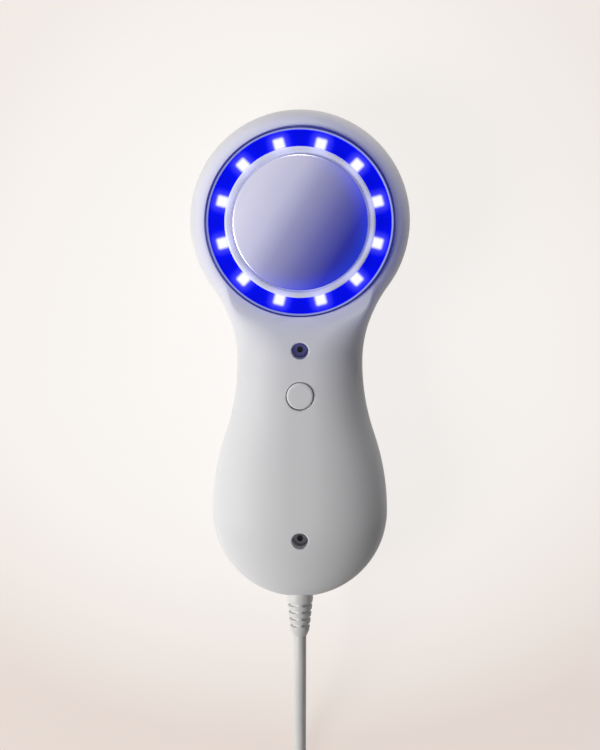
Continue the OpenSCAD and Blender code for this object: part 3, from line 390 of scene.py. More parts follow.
def turned(bm, profile, steps, closed=False, y=0):
    """Spins a profile of (radius, height) points round an upright axis on the middle line"""
    verts = [bm.verts.new((r, y, z)) for r, z in profile]
    pairs = list(zip(verts, verts[1:])) + ([(verts[-1], verts[0])] if closed else [])
    edges = [bm.edges.new(pair) for pair in pairs]
    bmesh.ops.spin(bm, geom=verts + edges, axis=(0, 0, 1), cent=(0, y, 0), angle=2 * math.pi,
                   steps=steps, use_merge=True)
    return bm


def pillar(bm, radius, low, high, y, steps=48):
    """A plain upright pillar on the middle line of the handle"""
    turned(bm, [(0, low), (radius, low), (radius, high), (0, high)], steps, y=y)


def shifted(corners, radius, height):
    """A few corners of a profile, moved outwards and up"""
    return [(radius + r, height + z, cut) for r, z, cut in corners]


def rounded(corners, steps):
    """A profile whose corners (radius, height, rounding) are replaced by short curves"""
    points = []
    for i, (r, z, cut) in enumerate(corners):
        corner = Vector((r, z))
        if cut <= 0:
            points.append(corner)
            continue
        before, after = Vector(corners[i - 1][:2]), Vector(corners[(i + 1) % len(corners)][:2])
        start = corner + (before - corner).normalized() * cut
        end = corner + (after - corner).normalized() * cut
        for j in range(steps + 1):
            u = j / steps
            points.append(start * (1 - u) ** 2 + corner * 2 * u * (1 - u) + end * u ** 2)
    return [(p.x, p.y) for p in points]


def flare(radius, top, edge):
    """Profile of a cutter that opens a hole of this radius with a rounded rim at height top"""
    curve = [(radius + edge * (1 - math.cos(a)), top - edge + edge * math.sin(a))
             for a in [math.radians(15 * i) for i in range(7)]]
    return curve + [(radius + edge, top + CLEAR)]


def prism(bm, outline, low, high):
    """Extrudes a flat outline of (x, y) points from one height to another"""
    base = [bm.verts.new((x, y, low)) for x, y in outline]
    grown = bmesh.ops.extrude_face_region(bm, geom=[bm.faces.new(base)], use_keep_orig=True)["geom"]
    fresh = [g for g in grown if isinstance(g, bmesh.types.BMVert)]
    bmesh.ops.translate(bm, verts=fresh, vec=(0, 0, high - low))
    return base + fresh


def stadium(width, height, steps=10):
    """A slot's outline with round ends, its height along Y"""
    reach = (height - width) / 2
    return [on_circle((0, y), width / 2, start + math.pi * i / steps)
            for y, start in ((reach, 0.0), (-reach, math.pi)) for i in range(steps + 1)]


def worked(bm, name):
    """An object, still in millimetres, from a finished bmesh"""
    merged(bm)
    bmesh.ops.dissolve_degenerate(bm, edges=bm.edges[:], dist=SLIVER)
    bmesh.ops.recalc_face_normals(bm, faces=bm.faces[:])
    return linked(name, meshed(bm, name))


def combined(obj, bm, operation):
    """Joins or cuts an object with a tool's bmesh, and removes the tool"""
    tool = worked(bm, obj.name + ".tool")
    modifier = obj.modifiers.new("tool", "BOOLEAN")
    modifier.operation = operation
    modifier.solver = "EXACT"
    modifier.object = tool
    bpy.context.view_layer.update()
    seen = obj.evaluated_get(bpy.context.evaluated_depsgraph_get())
    mesh = bpy.data.meshes.new_from_object(seen)
    if not mesh.polygons:
        raise RuntimeError("nothing is left of " + obj.name + " after " + operation)
    obj.modifiers.clear()
    obj.data = mesh
    bpy.data.objects.remove(tool)


def completed(obj, finish, body="massager", sharp=SHARP):
    """Scales a worked object to metres, shades it and puts it in place of the node in its name"""
    bm = bmesh.new()
    bm.from_mesh(obj.data)
    bmesh.ops.scale(bm, vec=(MM, MM, MM), verts=bm.verts[:])
    for edge in bm.edges:
        edge.smooth = len(edge.link_faces) == 2 and edge.calc_face_angle(0.0) < sharp
    for face in bm.faces:
        face.smooth = True
    bm.to_mesh(obj.data)
    bm.free()
    placed(obj, finish, body, obj.name.rpartition(".")[0])


def placed(obj, finish, body, *nodes):
    """Gives a piece its finish and lets it ride its body instead of the frame's nodes"""
    obj.data.materials.clear()
    obj.data.materials.append(bpy.data.materials[finish])
    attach(obj, body)
    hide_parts(*nodes)


def bevelled_copy(node, width, finish, body="massager", segments=2):
    """A copy of a frame node with its triangles merged back into faces and its edges rounded"""
    bm = bmesh.new()
    bm.from_mesh(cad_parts[node].data)
    bmesh.ops.scale(bm, vec=(1 / MM, 1 / MM, 1 / MM), verts=bm.verts[:])
    merged(bm)
    bmesh.ops.dissolve_limit(bm, angle_limit=math.radians(1), verts=bm.verts[:], edges=bm.edges[:],
                             delimit=set())
    edges = [e for e in bm.edges if len(e.link_faces) == 2 and e.calc_face_angle(0.0) > SHARP]
    bmesh.ops.bevel(bm, geom=edges, offset=width, offset_type="OFFSET", affect="EDGES",
                    segments=segments, profile=0.5, material=-1, clamp_overlap=True)
    name = node + ".rounded"
    completed(linked(name, meshed(bm, name)), finish, body)


# Node tools

class Net:
    """Adds nodes to one tree and links them"""

    def __init__(self, tree):
        self.tree = tree

    def add(self, kind, inputs=None, **values):
        """A shader node of a kind, with its inputs by name or number and its own values"""
        node = self.tree.nodes.new("ShaderNode" + kind)
        for name, value in values.items():
            setattr(node, name, value)
        for name, value in (inputs or {}).items():
            self.feed(value, node.inputs[name])
        return node

    def feed(self, value, socket):
        """Links a socket to its source, or sets its value"""
        if isinstance(value, bpy.types.NodeSocket):
            self.tree.links.new(value, socket)
        else:
            socket.default_value = opaque(value) if socket.type == "RGBA" else value

    def math(self, operation, *values, clamp=False):
        return self.add("Math", dict(enumerate(values)), operation=operation, use_clamp=clamp).outputs[0]

    def product(self, first, *others):
        for value in others:
            first = self.math("MULTIPLY", first, value)
        return first

    def reach(self, x, y):
        """The length of a flat vector"""
        return self.math("SQRT", self.math("ADD", self.product(x, x), self.product(y, y)))

    def past(self, value, start):
        """How far a value lies past its start, and never less than 0"""
        return self.math("MAXIMUM", self.math("SUBTRACT", value, start), 0.0)

    def fading(self, value, reach):
        """Falls from 1 towards 0 as a value grows"""
        return self.math("EXPONENT", self.product(self.math("DIVIDE", value, reach), -1.0))

    def ranged(self, value, low, high, start=0.0, end=1.0, kind="LINEAR"):
        return self.add("MapRange", {0: value, 1: low, 2: high, 3: start, 4: end},
                        interpolation_type=kind).outputs[0]

    def noise(self, place, scale, detail):
        return self.add("TexNoise", {"Vector": place, "Scale": scale, "Detail": detail}).outputs["Fac"]

    def parts(self, vector):
        return self.add("SeparateXYZ", {0: vector}).outputs

    def place(self):
        """The point's own coordinates on its object"""
        return self.add("TexCoord").outputs["Object"]

    def blend(self, share, first, second, kind="MIX"):
        """Two colours mixed by a share"""
        return self.add("Mix", {0: share, 6: first, 7: second}, data_type="RGBA", blend_type=kind).outputs[2]

    def ramp(self, share, stops):
        """A colour between stops of (share, colour)"""
        node = self.add("ValToRGB", {"Fac": share})
        elements = node.color_ramp.elements
        while len(elements) < len(stops):
            elements.new(0.5)
        for element, (at, value) in zip(elements, stops):
            element.position = at
            element.color = opaque(value)
        return node.outputs["Color"]

    def radial_ramp(self, stops, low, high):
        """A colour that changes with the distance from the middle of the head, between two radii"""
        place = self.parts(self.place())
        return self.ramp(self.ranged(self.reach(place[0], place[1]), low * MM, high * MM), stops)


def new_group(name, inputs, outputs):
    """A shader node group: its inputs by name and default, and its outputs by name and kind"""
    tree = bpy.data.node_groups.new(name, "ShaderNodeTree")
    for key, value in inputs.items():
        kind = "Float" if isinstance(value, float) else {3: "Vector", 4: "Color"}[len(value)]
        socket = tree.interface.new_socket(name=key, in_out="INPUT", socket_type="NodeSocket" + kind)
        socket.default_value = value
    for key, kind in outputs.items():
        tree.interface.new_socket(name=key, in_out="OUTPUT", socket_type="NodeSocket" + kind)
    return Net(tree), tree.nodes.new("NodeGroupInput").outputs, tree.nodes.new("NodeGroupOutput").inputs


def build_moulded_surface():
    """Slow mottling of a colour, slight unevenness of its gloss, and a fine grain"""
    net, given, result = new_group(
        "moulded surface",
        {"Colour": (0.8, 0.8, 0.8, 1), "Second colour": (0.7, 0.7, 0.7, 1), "Stretch": (1, 1, 1),
         "Mottle scale": 60.0, "Grain scale": 900.0, "Roughness": 0.4, "Unevenness": 0.1},
        {"Colour": "Color", "Roughness": "Float", "Height": "Float"})
    values = {0: net.place(), 1: given["Stretch"]}
    stretched = net.add("VectorMath", values, operation="MULTIPLY").outputs[0]
    slow = net.noise(stretched, given["Mottle scale"], 3.0)
    mottled = net.blend(net.ranged(slow, 0.35, 0.65), given["Colour"], given["Second colour"])
    net.feed(mottled, result["Colour"])
    swing = net.product(net.math("SUBTRACT", slow, 0.5), given["Unevenness"])
    net.feed(net.math("ADD", given["Roughness"], swing, clamp=True), result["Roughness"])
    net.feed(net.noise(stretched, given["Grain scale"], 2.0), result["Height"])


def build_worn_edges():
    """Lightens or bares the proud edges of a piece, unevenly"""
    net, given, result = new_group(
        "worn edges",
        {"Colour": (0.5, 0.5, 0.5, 1), "Worn colour": (0.8, 0.8, 0.8, 1), "Amount": 0.5},
        {"Colour": "Color"})
    edge = net.ranged(net.add("NewGeometry").outputs["Pointiness"], 0.51, 0.58)
    patch = net.ranged(net.noise(net.place(), 300.0, 4.0), 0.35, 0.6, 0.2, 1.0)
    mask = net.math("MULTIPLY", net.product(edge, patch), given["Amount"], clamp=True)
    net.feed(net.blend(mask, given["Colour"], given["Worn colour"]), result["Colour"])


def build_lamp_glow():
    """Bright spots of the lamps round the head, their halos, and the light that spills past the ring"""
    s = settings("ring")
    net, given, result = new_group(
        "lamp glow",
        {"Lamps": float(LAMP_COUNT), "Lamp place": s.lamp_radius, "Lamp length": s.lamp_length,
         "Lamp edge": s.lamp_edge, "Halo reach": s.halo_reach,
         "Spill start": s.trim_radius, "Spill reach": WIDE_SPILL},
        {"Lamp": "Float", "Halo": "Float", "Spill": "Float"})
    place = net.parts(net.place())
    radius = net.reach(place[0], place[1])
    pitch = net.math("DIVIDE", 2 * math.pi, given["Lamps"])
    steps = net.math("DIVIDE", net.math("ARCTAN2", place[1], place[0]), pitch)
    turn = net.product(net.math("SUBTRACT", net.math("FRACT", steps), 0.5), pitch)
    half = net.product(given["Lamp length"], 0.5)
    across = net.math("ABSOLUTE", net.product(radius, net.math("SINE", turn)))
    outward = net.product(radius, net.math("COSINE", turn))
    along = net.math("ABSOLUTE", net.math("SUBTRACT", outward, given["Lamp place"]))
    off = net.reach(net.past(across, half), net.past(along, half))
    net.feed(net.ranged(off, 0.0, given["Lamp edge"], 1.0, 0.0, "SMOOTHSTEP"), result["Lamp"])
    net.feed(net.fading(off, given["Halo reach"]), result["Halo"])
    net.feed(net.fading(net.past(radius, given["Spill start"]), given["Spill reach"]), result["Spill"])


def build_recess_shade():
    """A mask of what lies within a radius of the screws' axes and below the recesses' rims"""
    net, given, result = new_group(
        "recess shade", {"Radius": 3.1 * MM, "Depth": 0.6 * MM}, {"Mask": "Float"})
    place = net.parts(net.place())
    above = net.math("GREATER_THAN", place[2], SPLIT_Z * MM)
    outline = Outline()
    mask = 0.0
    for y in SCREW_YS:
        radius = net.reach(place[0], net.math("SUBTRACT", place[1], y * MM))
        top = net.math("SUBTRACT", outline.crown_z(y) * MM, given["Depth"])
        within = net.product(net.math("LESS_THAN", radius, given["Radius"]),
                             net.math("LESS_THAN", place[2], top), above)
        mask = net.math("MAXIMUM", mask, within)
    net.feed(mask, result["Mask"])


def build_board_tracks():
    """Lighter tracks and pads of a circuit board"""
    net, given, result = new_group(
        "board tracks",
        {"Colour": (0.02, 0.2, 0.08, 1), "Track colour": (0.05, 0.32, 0.13, 1), "Scale": 260.0},
        {"Colour": "Color", "Height": "Float"})
    pattern = {"Vector": net.place(), "Scale": given["Scale"]}
    tracks = net.add("TexBrick", {**pattern, "Mortar Size": 0.09, "Mortar Smooth": 0.2,
                                  "Brick Width": 1.3, "Row Height": 0.4})
    pads = net.add("TexVoronoi", pattern, feature="F1")
    pad = net.ranged(pads.outputs["Distance"], 0.16, 0.2, 1.0, 0.0)
    mask = net.math("MAXIMUM", tracks.outputs["Fac"], pad)
    net.feed(net.blend(mask, given["Colour"], given["Track colour"]), result["Colour"])
    net.feed(mask, result["Height"])


class Finish(Net):
    """A material under construction: a Principled shader fed by the shared groups"""

    def __init__(self, name, first, second=None, roughness=0.4, unevenness=0.1, metallic=0.0,
                 stretch=(1, 1, 1), mottle=60.0, grain=900.0, depth=0.03, worn=None, worn_amount=0.5,
                 coat=0.0, ior=1.46, specular=0.5, soft=0.0):
        material = bpy.data.materials.new(name)
        material.use_nodes = True
        material.diffuse_color = opaque(first)
        super().__init__(material.node_tree)
        self.shader = material.node_tree.nodes["Principled BSDF"]
        surface = self.group("moulded surface", {
            "Colour": first, "Second colour": second or shaded(first, 0.93), "Stretch": stretch,
            "Mottle scale": mottle, "Grain scale": grain, "Roughness": roughness, "Unevenness": unevenness})
        self.recolour(surface["Colour"])
        if worn:
            values = {"Colour": self.colour, "Worn colour": worn, "Amount": worn_amount}
            self.recolour(self.group("worn edges", values)["Colour"])
        self.bump = self.add("Bump", {"Height": surface["Height"], "Strength": 0.35, "Distance": depth * MM})
        self.shade({"Roughness": surface["Roughness"], "Normal": self.bump.outputs["Normal"],
                    "Metallic": metallic, "IOR": ior, "Coat Weight": coat, "Specular IOR Level": specular})
        if soft:
            self.shade({"Subsurface Weight": soft, "Subsurface Radius": (0.004, 0.004, 0.004),
                        "Subsurface Scale": 0.5})

    def group(self, name, inputs=None):
        """The outputs of a shared group, placed with this finish's own values"""
        return self.add("Group", inputs, node_tree=bpy.data.node_groups[name]).outputs

    def shade(self, inputs):
        """Feeds the Principled shader"""
        for socket, value in inputs.items():
            self.feed(value, self.shader.inputs[socket])

    def recolour(self, value):
        self.colour = value
        self.shade({"Base Color": value})

    def light(self, value, strength=1.0):
        """Light of its own"""
        self.shade({"Emission Color": value, "Emission Strength": strength})

    def spill(self, reach):
        return self.group("lamp glow", {"Spill reach": reach})["Spill"]


def lens_finish():
    s = settings("ring")
    made = Finish("lens_blue", shaded(s.band_colour, 0.5), roughness=0.42, ior=1.35, specular=0.1,
                  grain=1200, depth=0.01)
    glow = made.group("lamp glow")
    deep = made.blend(made.ranged(glow["Halo"], 0.0, 0.12), shaded(s.band_colour, 0.78), s.band_colour)
    lit = made.blend(made.ranged(glow["Halo"], 0.12, 0.95), deep, s.halo_colour)
    made.light(made.blend(glow["Lamp"], lit, (1.0, 1.0, 1.0)))


def trim_finish():
    s = settings("ring")
    made = Finish("trim_blue", s.trim_colour, roughness=0.3, specular=0.2, depth=0.01)
    radii = (30.0, 32.1)
    band, crest = s.band_colour, s.crest_highlight_colour
    # Painted highlight: a pale ring of crest colour between the trim's blue inner band and its dark outer
    # edge
    stops = ((0.0, band), (0.4, band), (0.5, crest), (0.66, crest), (0.76, s.trim_colour))
    made.recolour(made.radial_ramp(stops, *radii))
    stops = ((0.0, band), (0.38, band), (0.5, (0.05, 0.06, 0.3)), (1.0, (0.0, 0.0, 0.03)))
    made.light(made.radial_ramp(stops, *radii), 0.6)


def housing_finish():
    """White moulding with painted blue light from the ring on its front, painted shade deep in the screws'
    recesses, and painted light that lifts their walls
    """
    s = settings("housing")
    made = Finish("housing_white", s.shell_colour, shaded(s.shell_colour, 0.985), roughness=0.52,
                  mottle=28, grain=2600, depth=0.012, specular=0.25)
    recess = made.group("recess shade")["Mask"]
    # Painted shade: the housing turns to the recess colour deep inside the screws' recesses
    made.recolour(made.blend(recess, made.colour, s.recess_shade_colour))
    # Painted light: the ring's blue light on the housing's front faces round the ring is given as light of
    # the housing's own, near the trim and wider
    wide, near = made.spill(WIDE_SPILL), made.spill(NEAR_SPILL)
    height = made.parts(made.place())[2]
    facing = made.parts(made.add("NewGeometry").outputs["Normal"])[2]
    shown = made.product(made.ranged(height, SPLIT_Z * MM, (SPLIT_Z + 12) * MM),
                         made.ranged(facing, 0.1, 0.6), made.math("SUBTRACT", 1.0, recess))
    glow = made.blend(made.product(wide, shown), (0.0, 0.0, 0.0), (0.012, 0.017, 0.13))
    glow = made.blend(made.product(near, shown), glow, (0.012, 0.02, 0.22))
    # Painted light that lifts the recess walls out of their shade: grey at the lower screw, blue at the upper
    # one where the ring's painted light reaches
    inside = made.blend(made.ranged(wide, 0.0, SPILL_AT_SCREW), (0.035, 0.035, 0.036), (0.018, 0.018, 0.055))
    made.light(made.blend(recess, glow, inside))


def collar_finish():
    made = Finish("collar_white", linear(214, 216, 236), roughness=0.3, depth=0.008, coat=0.2)
    # The collar glows with painted light of the ring: faintly all over, and blue beside each lamp
    halo = made.group("lamp glow", {"Halo reach": 0.0016})["Halo"]
    made.light(made.blend(halo, (0.11, 0.12, 0.17), (0.42, 0.42, 0.9)))


def plate_finish():
    """Satin metal with painted shade and painted reflection of the ring's blue light: light lavender grey at
    the upper left, deep blue low on the right, with a painted blue glow near its edge
    """
    made = Finish("plate_metal", linear(232, 231, 238), linear(228, 227, 236), roughness=0.33,
                  unevenness=0.03, metallic=1.0, grain=2400, depth=0.002)
    # Painted reflection and shade: the colour falls across the plate from light lavender grey at the upper
    # left to deep blue low on the right
    across_light = {0: made.place(), 1: (0.9, -0.55, 0.0)}
    slant = made.add("VectorMath", across_light, operation="DOT_PRODUCT").outputs["Value"]
    share = made.ranged(slant, -0.020, 0.024)
    tint = made.ramp(share, (
        (0.0, linear(232, 231, 243)), (0.23, linear(212, 211, 231)), (0.42, linear(165, 166, 201)),
        (0.66, linear(113, 114, 180)), (0.86, linear(56, 60, 166)), (1.0, linear(36, 54, 155))))
    made.recolour(made.blend(1.0, made.colour, tint, "MULTIPLY"))
    # Painted light: a blue glow of the ring near the plate's edge, low on the right
    dark = (0.0, 0.0, 0.0)
    stops = ((0.0, dark), (0.35, (0.001, 0.002, 0.07)), (1.0, (0.006, 0.014, 0.34)))
    glow = made.radial_ramp(stops, 16.5, 22.6)
    made.light(made.blend(made.ranged(share, 0.25, 0.7), dark, glow))


def screw_finish():
    """Black steel with painted blue light from the ring on the upper screw, and painted shade in the sockets
    """
    made = Finish("screw_black", settings("fitting").screw_colour_with_painted_light, roughness=0.45, metallic=0.2, grain=2200,
                  depth=0.015, worn=linear(130, 130, 140), worn_amount=0.3)
    # Painted light: the upper screw's colour turns blue where the ring's painted spill reaches
    lit = made.ranged(made.spill(WIDE_SPILL), 0.0, SPILL_AT_SCREW)
    made.recolour(made.blend(lit, made.colour, linear(124, 122, 186)))
    # Painted shade: the hexagon sockets are near black
    socket = made.group("recess shade", {"Radius": (SOCKET_R + 0.06) * MM, "Depth": 5.8 * MM})["Mask"]
    made.recolour(made.blend(socket, made.colour, (0.001, 0.001, 0.002)))


def board_finish():
    made = Finish("board_green", linear(22, 96, 52), roughness=0.35, coat=0.4, depth=0.02)
    tracks = made.group("board tracks", {"Colour": made.colour, "Track colour": linear(58, 142, 84)})
    made.recolour(tracks["Colour"])
    made.feed(tracks["Height"], made.bump.inputs["Height"])


# Finishes that take nothing but the shared groups: two colours, and the values that differ from the usual
PLAIN_FINISHES = {
    "sink_metal": ((196, 198, 204), None, dict(
        roughness=0.36, metallic=1.0, stretch=(1, 10, 1), mottle=200, grain=1400, depth=0.02,
        worn=linear(228, 230, 236), worn_amount=0.4)),
    "screw_steel": ((182, 184, 190), None, dict(
        roughness=0.28, metallic=1.0, grain=2000, depth=0.012, worn=linear(226, 228, 232), worn_amount=0.7)),
    "part_black": ((34, 34, 37), (28, 28, 31), dict(
        roughness=0.52, unevenness=0.2, grain=1700, worn=linear(84, 84, 88), worn_amount=0.35)),
    "lamp_white": ((240, 240, 232), None, dict(depth=0.01)),
    "ceramic_white": ((232, 230, 224), None, dict(roughness=0.55, mottle=400, grain=2600, depth=0.02)),
    "pellet_grey": ((92, 94, 100), (120, 122, 126), dict(
        roughness=0.45, metallic=0.6, mottle=900, grain=2400)),
    "foam_grey": ((112, 114, 118), (88, 90, 94), dict(roughness=0.92, mottle=700, grain=1100, depth=0.25)),
    "socket_ivory": ((226, 218, 196), None, dict(roughness=0.42, grain=1500, depth=0.02)),
    "copper_brown": ((178, 98, 54), (146, 78, 44), dict(
        roughness=0.34, metallic=0.9, stretch=(1, 1, 9), mottle=500, grain=1800, depth=0.06)),
    "wire_sleeve": ((150, 40, 40), (134, 34, 34), dict(roughness=0.42, grain=1300, depth=0.02)),
    "capacitor_blue": ((38, 52, 96), (30, 42, 84), dict(roughness=0.3, coat=0.3, depth=0.015)),
    "bronze": ((176, 138, 78), (150, 116, 66), dict(roughness=0.42, metallic=1.0, mottle=900, grain=2600)),
    "barrel_nickel": ((206, 204, 198), None, dict(
        roughness=0.2, metallic=1.0, stretch=(1, 6, 1), mottle=300, grain=1900, depth=0.008,
        worn=linear(236, 234, 228))),
    "plunger_amber": ((206, 142, 54), None, dict(roughness=0.36, grain=1500, depth=0.015)),
}


def make_finishes():
    """Every material of the object, by its slot's name, which the frame's own plain material gives up"""
    for plain in bpy.data.materials[:]:
        plain.name = "plain " + plain.name
    for build in (build_moulded_surface, build_worn_edges, build_lamp_glow, build_recess_shade,
                  build_board_tracks, housing_finish, collar_finish, trim_finish, lens_finish,
                  plate_finish, screw_finish, board_finish):
        build()
    Finish("soft_white", settings("lead").lead_colour, roughness=0.46, unevenness=0.14, mottle=45,
           grain=1800, depth=0.02, soft=0.15)
    seal = Finish("seal_grey", linear(200, 202, 216), roughness=0.6, grain=1500, depth=0.02)
    # The seal glows with painted light that lifts the shade of its narrow sunken gap
    seal.light((0.13, 0.135, 0.21))
    for name, (first, second, values) in PLAIN_FINISHES.items():
        Finish(name, linear(*first), linear(*second) if second else None, **values)


# The lead

# Points of its middle, in millimetres: from the tail down to the coil, and from the coil to the plug
POWER_ROUTE = (
    (0, -152, 22), (0, -157, 21.6), (0, -162, 20.4), (0, -167, 18.4), (0, -172, 15.7), (0, -177, 12.6),
    (0, -182, 9.6), (0, -187, 7), (0, -192, 5), (0, -197, 3.7), (0.4, -202, 3.1), (1.6, -206.5, 2.9),
    (3.1, -210.3, 2.9), (5.7, -213.6, 2.9))
PLUG_ROUTE = (
    (-4, -209.2, 7.85), (2, -209.2, 7.8), (8, -209.6, 7.7), (14, -211, 7.4), (19.6, -213.6, 6.9),
    (24.4, -217.4, 6.3), (28.2, -222, 5.6), (30.8, -227.4, 5.1), (32, -233, 4.8))
PLUG_AT = Vector((32, -239, 4.8))
# The coil, whose second layer lies on the first: angles are in degrees and go clockwise
COIL_MIDDLE = (-14.0, -246.0)
COIL_TURNS = 7.875
COIL_START = 45.0
COIL_PITCH = 5.0
COIL_MEAN_R = 27.0
COIL_OUTER_R = COIL_MEAN_R + COIL_PITCH * COIL_TURNS / 4
COIL_HEIGHTS = (2.9, 7.85)
COIL_STEPS = 384


def coil_point(turn):
    """The lead's middle after a number of turns: in towards the middle, then out above"""
    radius = COIL_OUTER_R - COIL_PITCH * min(turn, COIL_TURNS - turn)
    angle = math.radians(COIL_START - 360 * turn)
    # Half a turn takes it up to the second layer
    height = mix(*COIL_HEIGHTS, smooth((turn - COIL_TURNS / 2 + 0.25) / 0.5))
    return Vector((*on_circle(COIL_MIDDLE, radius, angle), height))


def coil_way(turn):
    """The direction in which the coil runs after a number of turns"""
    angle = math.radians(COIL_START - 360 * turn)
    return Vector((math.sin(angle), -math.cos(angle), 0))


def softened_path(points, parts=3):
    """The points with more set between them on a curve that passes through each"""
    path = []
    padded = [points[0], *points, points[-1]]
    for before, start, end, after in zip(padded, padded[1:], padded[2:], padded[3:]):
        for j in range(parts):
            u = j / parts
            path.append(0.5 * (2 * start + (end - before) * u
                               + (2 * before - 5 * start + 4 * end - after) * u ** 2
                               + (3 * start - before - 3 * end + after) * u ** 3))
    return path + [points[-1]]


def lead_path(relief_end):
    """The whole lead from the strain relief through the coil to the plug"""
    step = mm(settings("lead").diameter)
    coil = [coil_point(i * COIL_TURNS / COIL_STEPS) for i in range(COIL_STEPS + 1)]
    first, last = coil[0] - step * coil_way(0), coil[-1] + step * coil_way(COIL_TURNS)
    start = [Vector((0, relief_end, SPLIT_Z)), *map(Vector, POWER_ROUTE), first, coil[0]]
    end = [coil[-1], last, *map(Vector, PLUG_ROUTE), PLUG_AT]
    return softened_path(start)[:-1] + coil + softened_path(end)[1:]


class MASSAGER_OT_lead(bpy.types.Operator):
    """Lays the power lead from the tail to its coil and on to the plug"""
    bl_idname = "massager.lead"
    bl_label = "Power lead"

    def execute(self, context):
        s = settings("lead")
        path = lead_path(Outline().end_y - mm(settings("fitting").relief_length))
        curve = bpy.data.curves.new("lead", "CURVE")
        curve.dimensions = "3D"
        curve.bevel_depth = s.diameter / 2
        curve.bevel_resolution = 5
        curve.use_fill_caps = True
        spline = curve.splines.new("POLY")
        spline.points.add(len(path) - 1)
        for point, place in zip(spline.points, path):
            point.co = (*(place * MM), 1.0)
        obj = linked("lead", curve)
        placed(obj, "soft_white", "massager", "power_lead", "lead_coil", "plug_lead")
        whole = sum((b - a).length for a, b in zip(path, path[1:])) * MM
        return {"FINISHED"}


class MASSAGER_OT_plug(bpy.types.Operator):
    """Moulds the plug's grip with its neck and grip ridges, and rounds its barrel and the tie"""
    bl_idname = "massager.plug"
    bl_label = "Plug and tie"

    NECK = 8.0
    GRIP = 22.0
    NECK_PITCH = 1.9
    GRIP_PITCH = 2.6
    # Corners of one notch of the neck and one of the grip, as (radius, height, rounding)
    NECK_NOTCH = ((0.75, 0, 0.25), (0.2, 0.35, 0.15), (0.2, 0.85, 0.15), (0.85, 1.2, 0.25))
    GRIP_NOTCH = ((0, 0, 0.3), (-0.5, 0.4, 0.2), (-0.5, 0.9, 0.2), (0, 1.3, 0.3))
    # Radius and depth of the barrel's seat
    SEAT = (3.55, 2.0)

    def execute(self, context):
        s = settings("lead")
        r, lead_r = mm(s.grip_radius), mm(s.diameter) / 2
        neck, back = self.NECK, self.NECK + self.GRIP
        seat_r, seat_z = self.SEAT[0], back - self.SEAT[1]
        corners = [(0, 0, 0), (lead_r + 0.2, 0, 0.15), (lead_r + 0.6, 0.9, 0.3)]
        for i in range(3):
            corners += shifted(self.NECK_NOTCH, lead_r, self.NECK_PITCH * (i + 1))
        corners += [(lead_r + 1.0, neck - 0.2, 0.3), (r - 0.9, neck + 0.2, 0.3), (r, neck + 1.7, 0.8)]
        for i in range(5):
            corners += shifted(self.GRIP_NOTCH, r, neck + 5 + self.GRIP_PITCH * i)
        corners += [(r, back, 0.6), (seat_r, back, 0.1), (seat_r, seat_z, 0), (0, seat_z, 0)]
        bm = turned(bmesh.new(), rounded(corners, 4), 72, True)
        # The grip is a little flatter above and below than at its sides
        for v in bm.verts:
            if v.co.z > neck + 3 and v.co.xy.length > seat_r + 0.05:
                v.co.y *= 1 - 0.1 * smooth((v.co.z - neck - 3) / 3) * smooth((back - 1 - v.co.z) / 4)
        laid(bm, math.pi / 2, PLUG_AT)
        completed(worked(bm, "plug_grip.moulded"), "soft_white")
        bevelled_copy("plug_barrel", 0.1, "barrel_nickel")
        bevelled_copy("lead_tie", 0.12, "part_black")
        return {"FINISHED"}


# The body

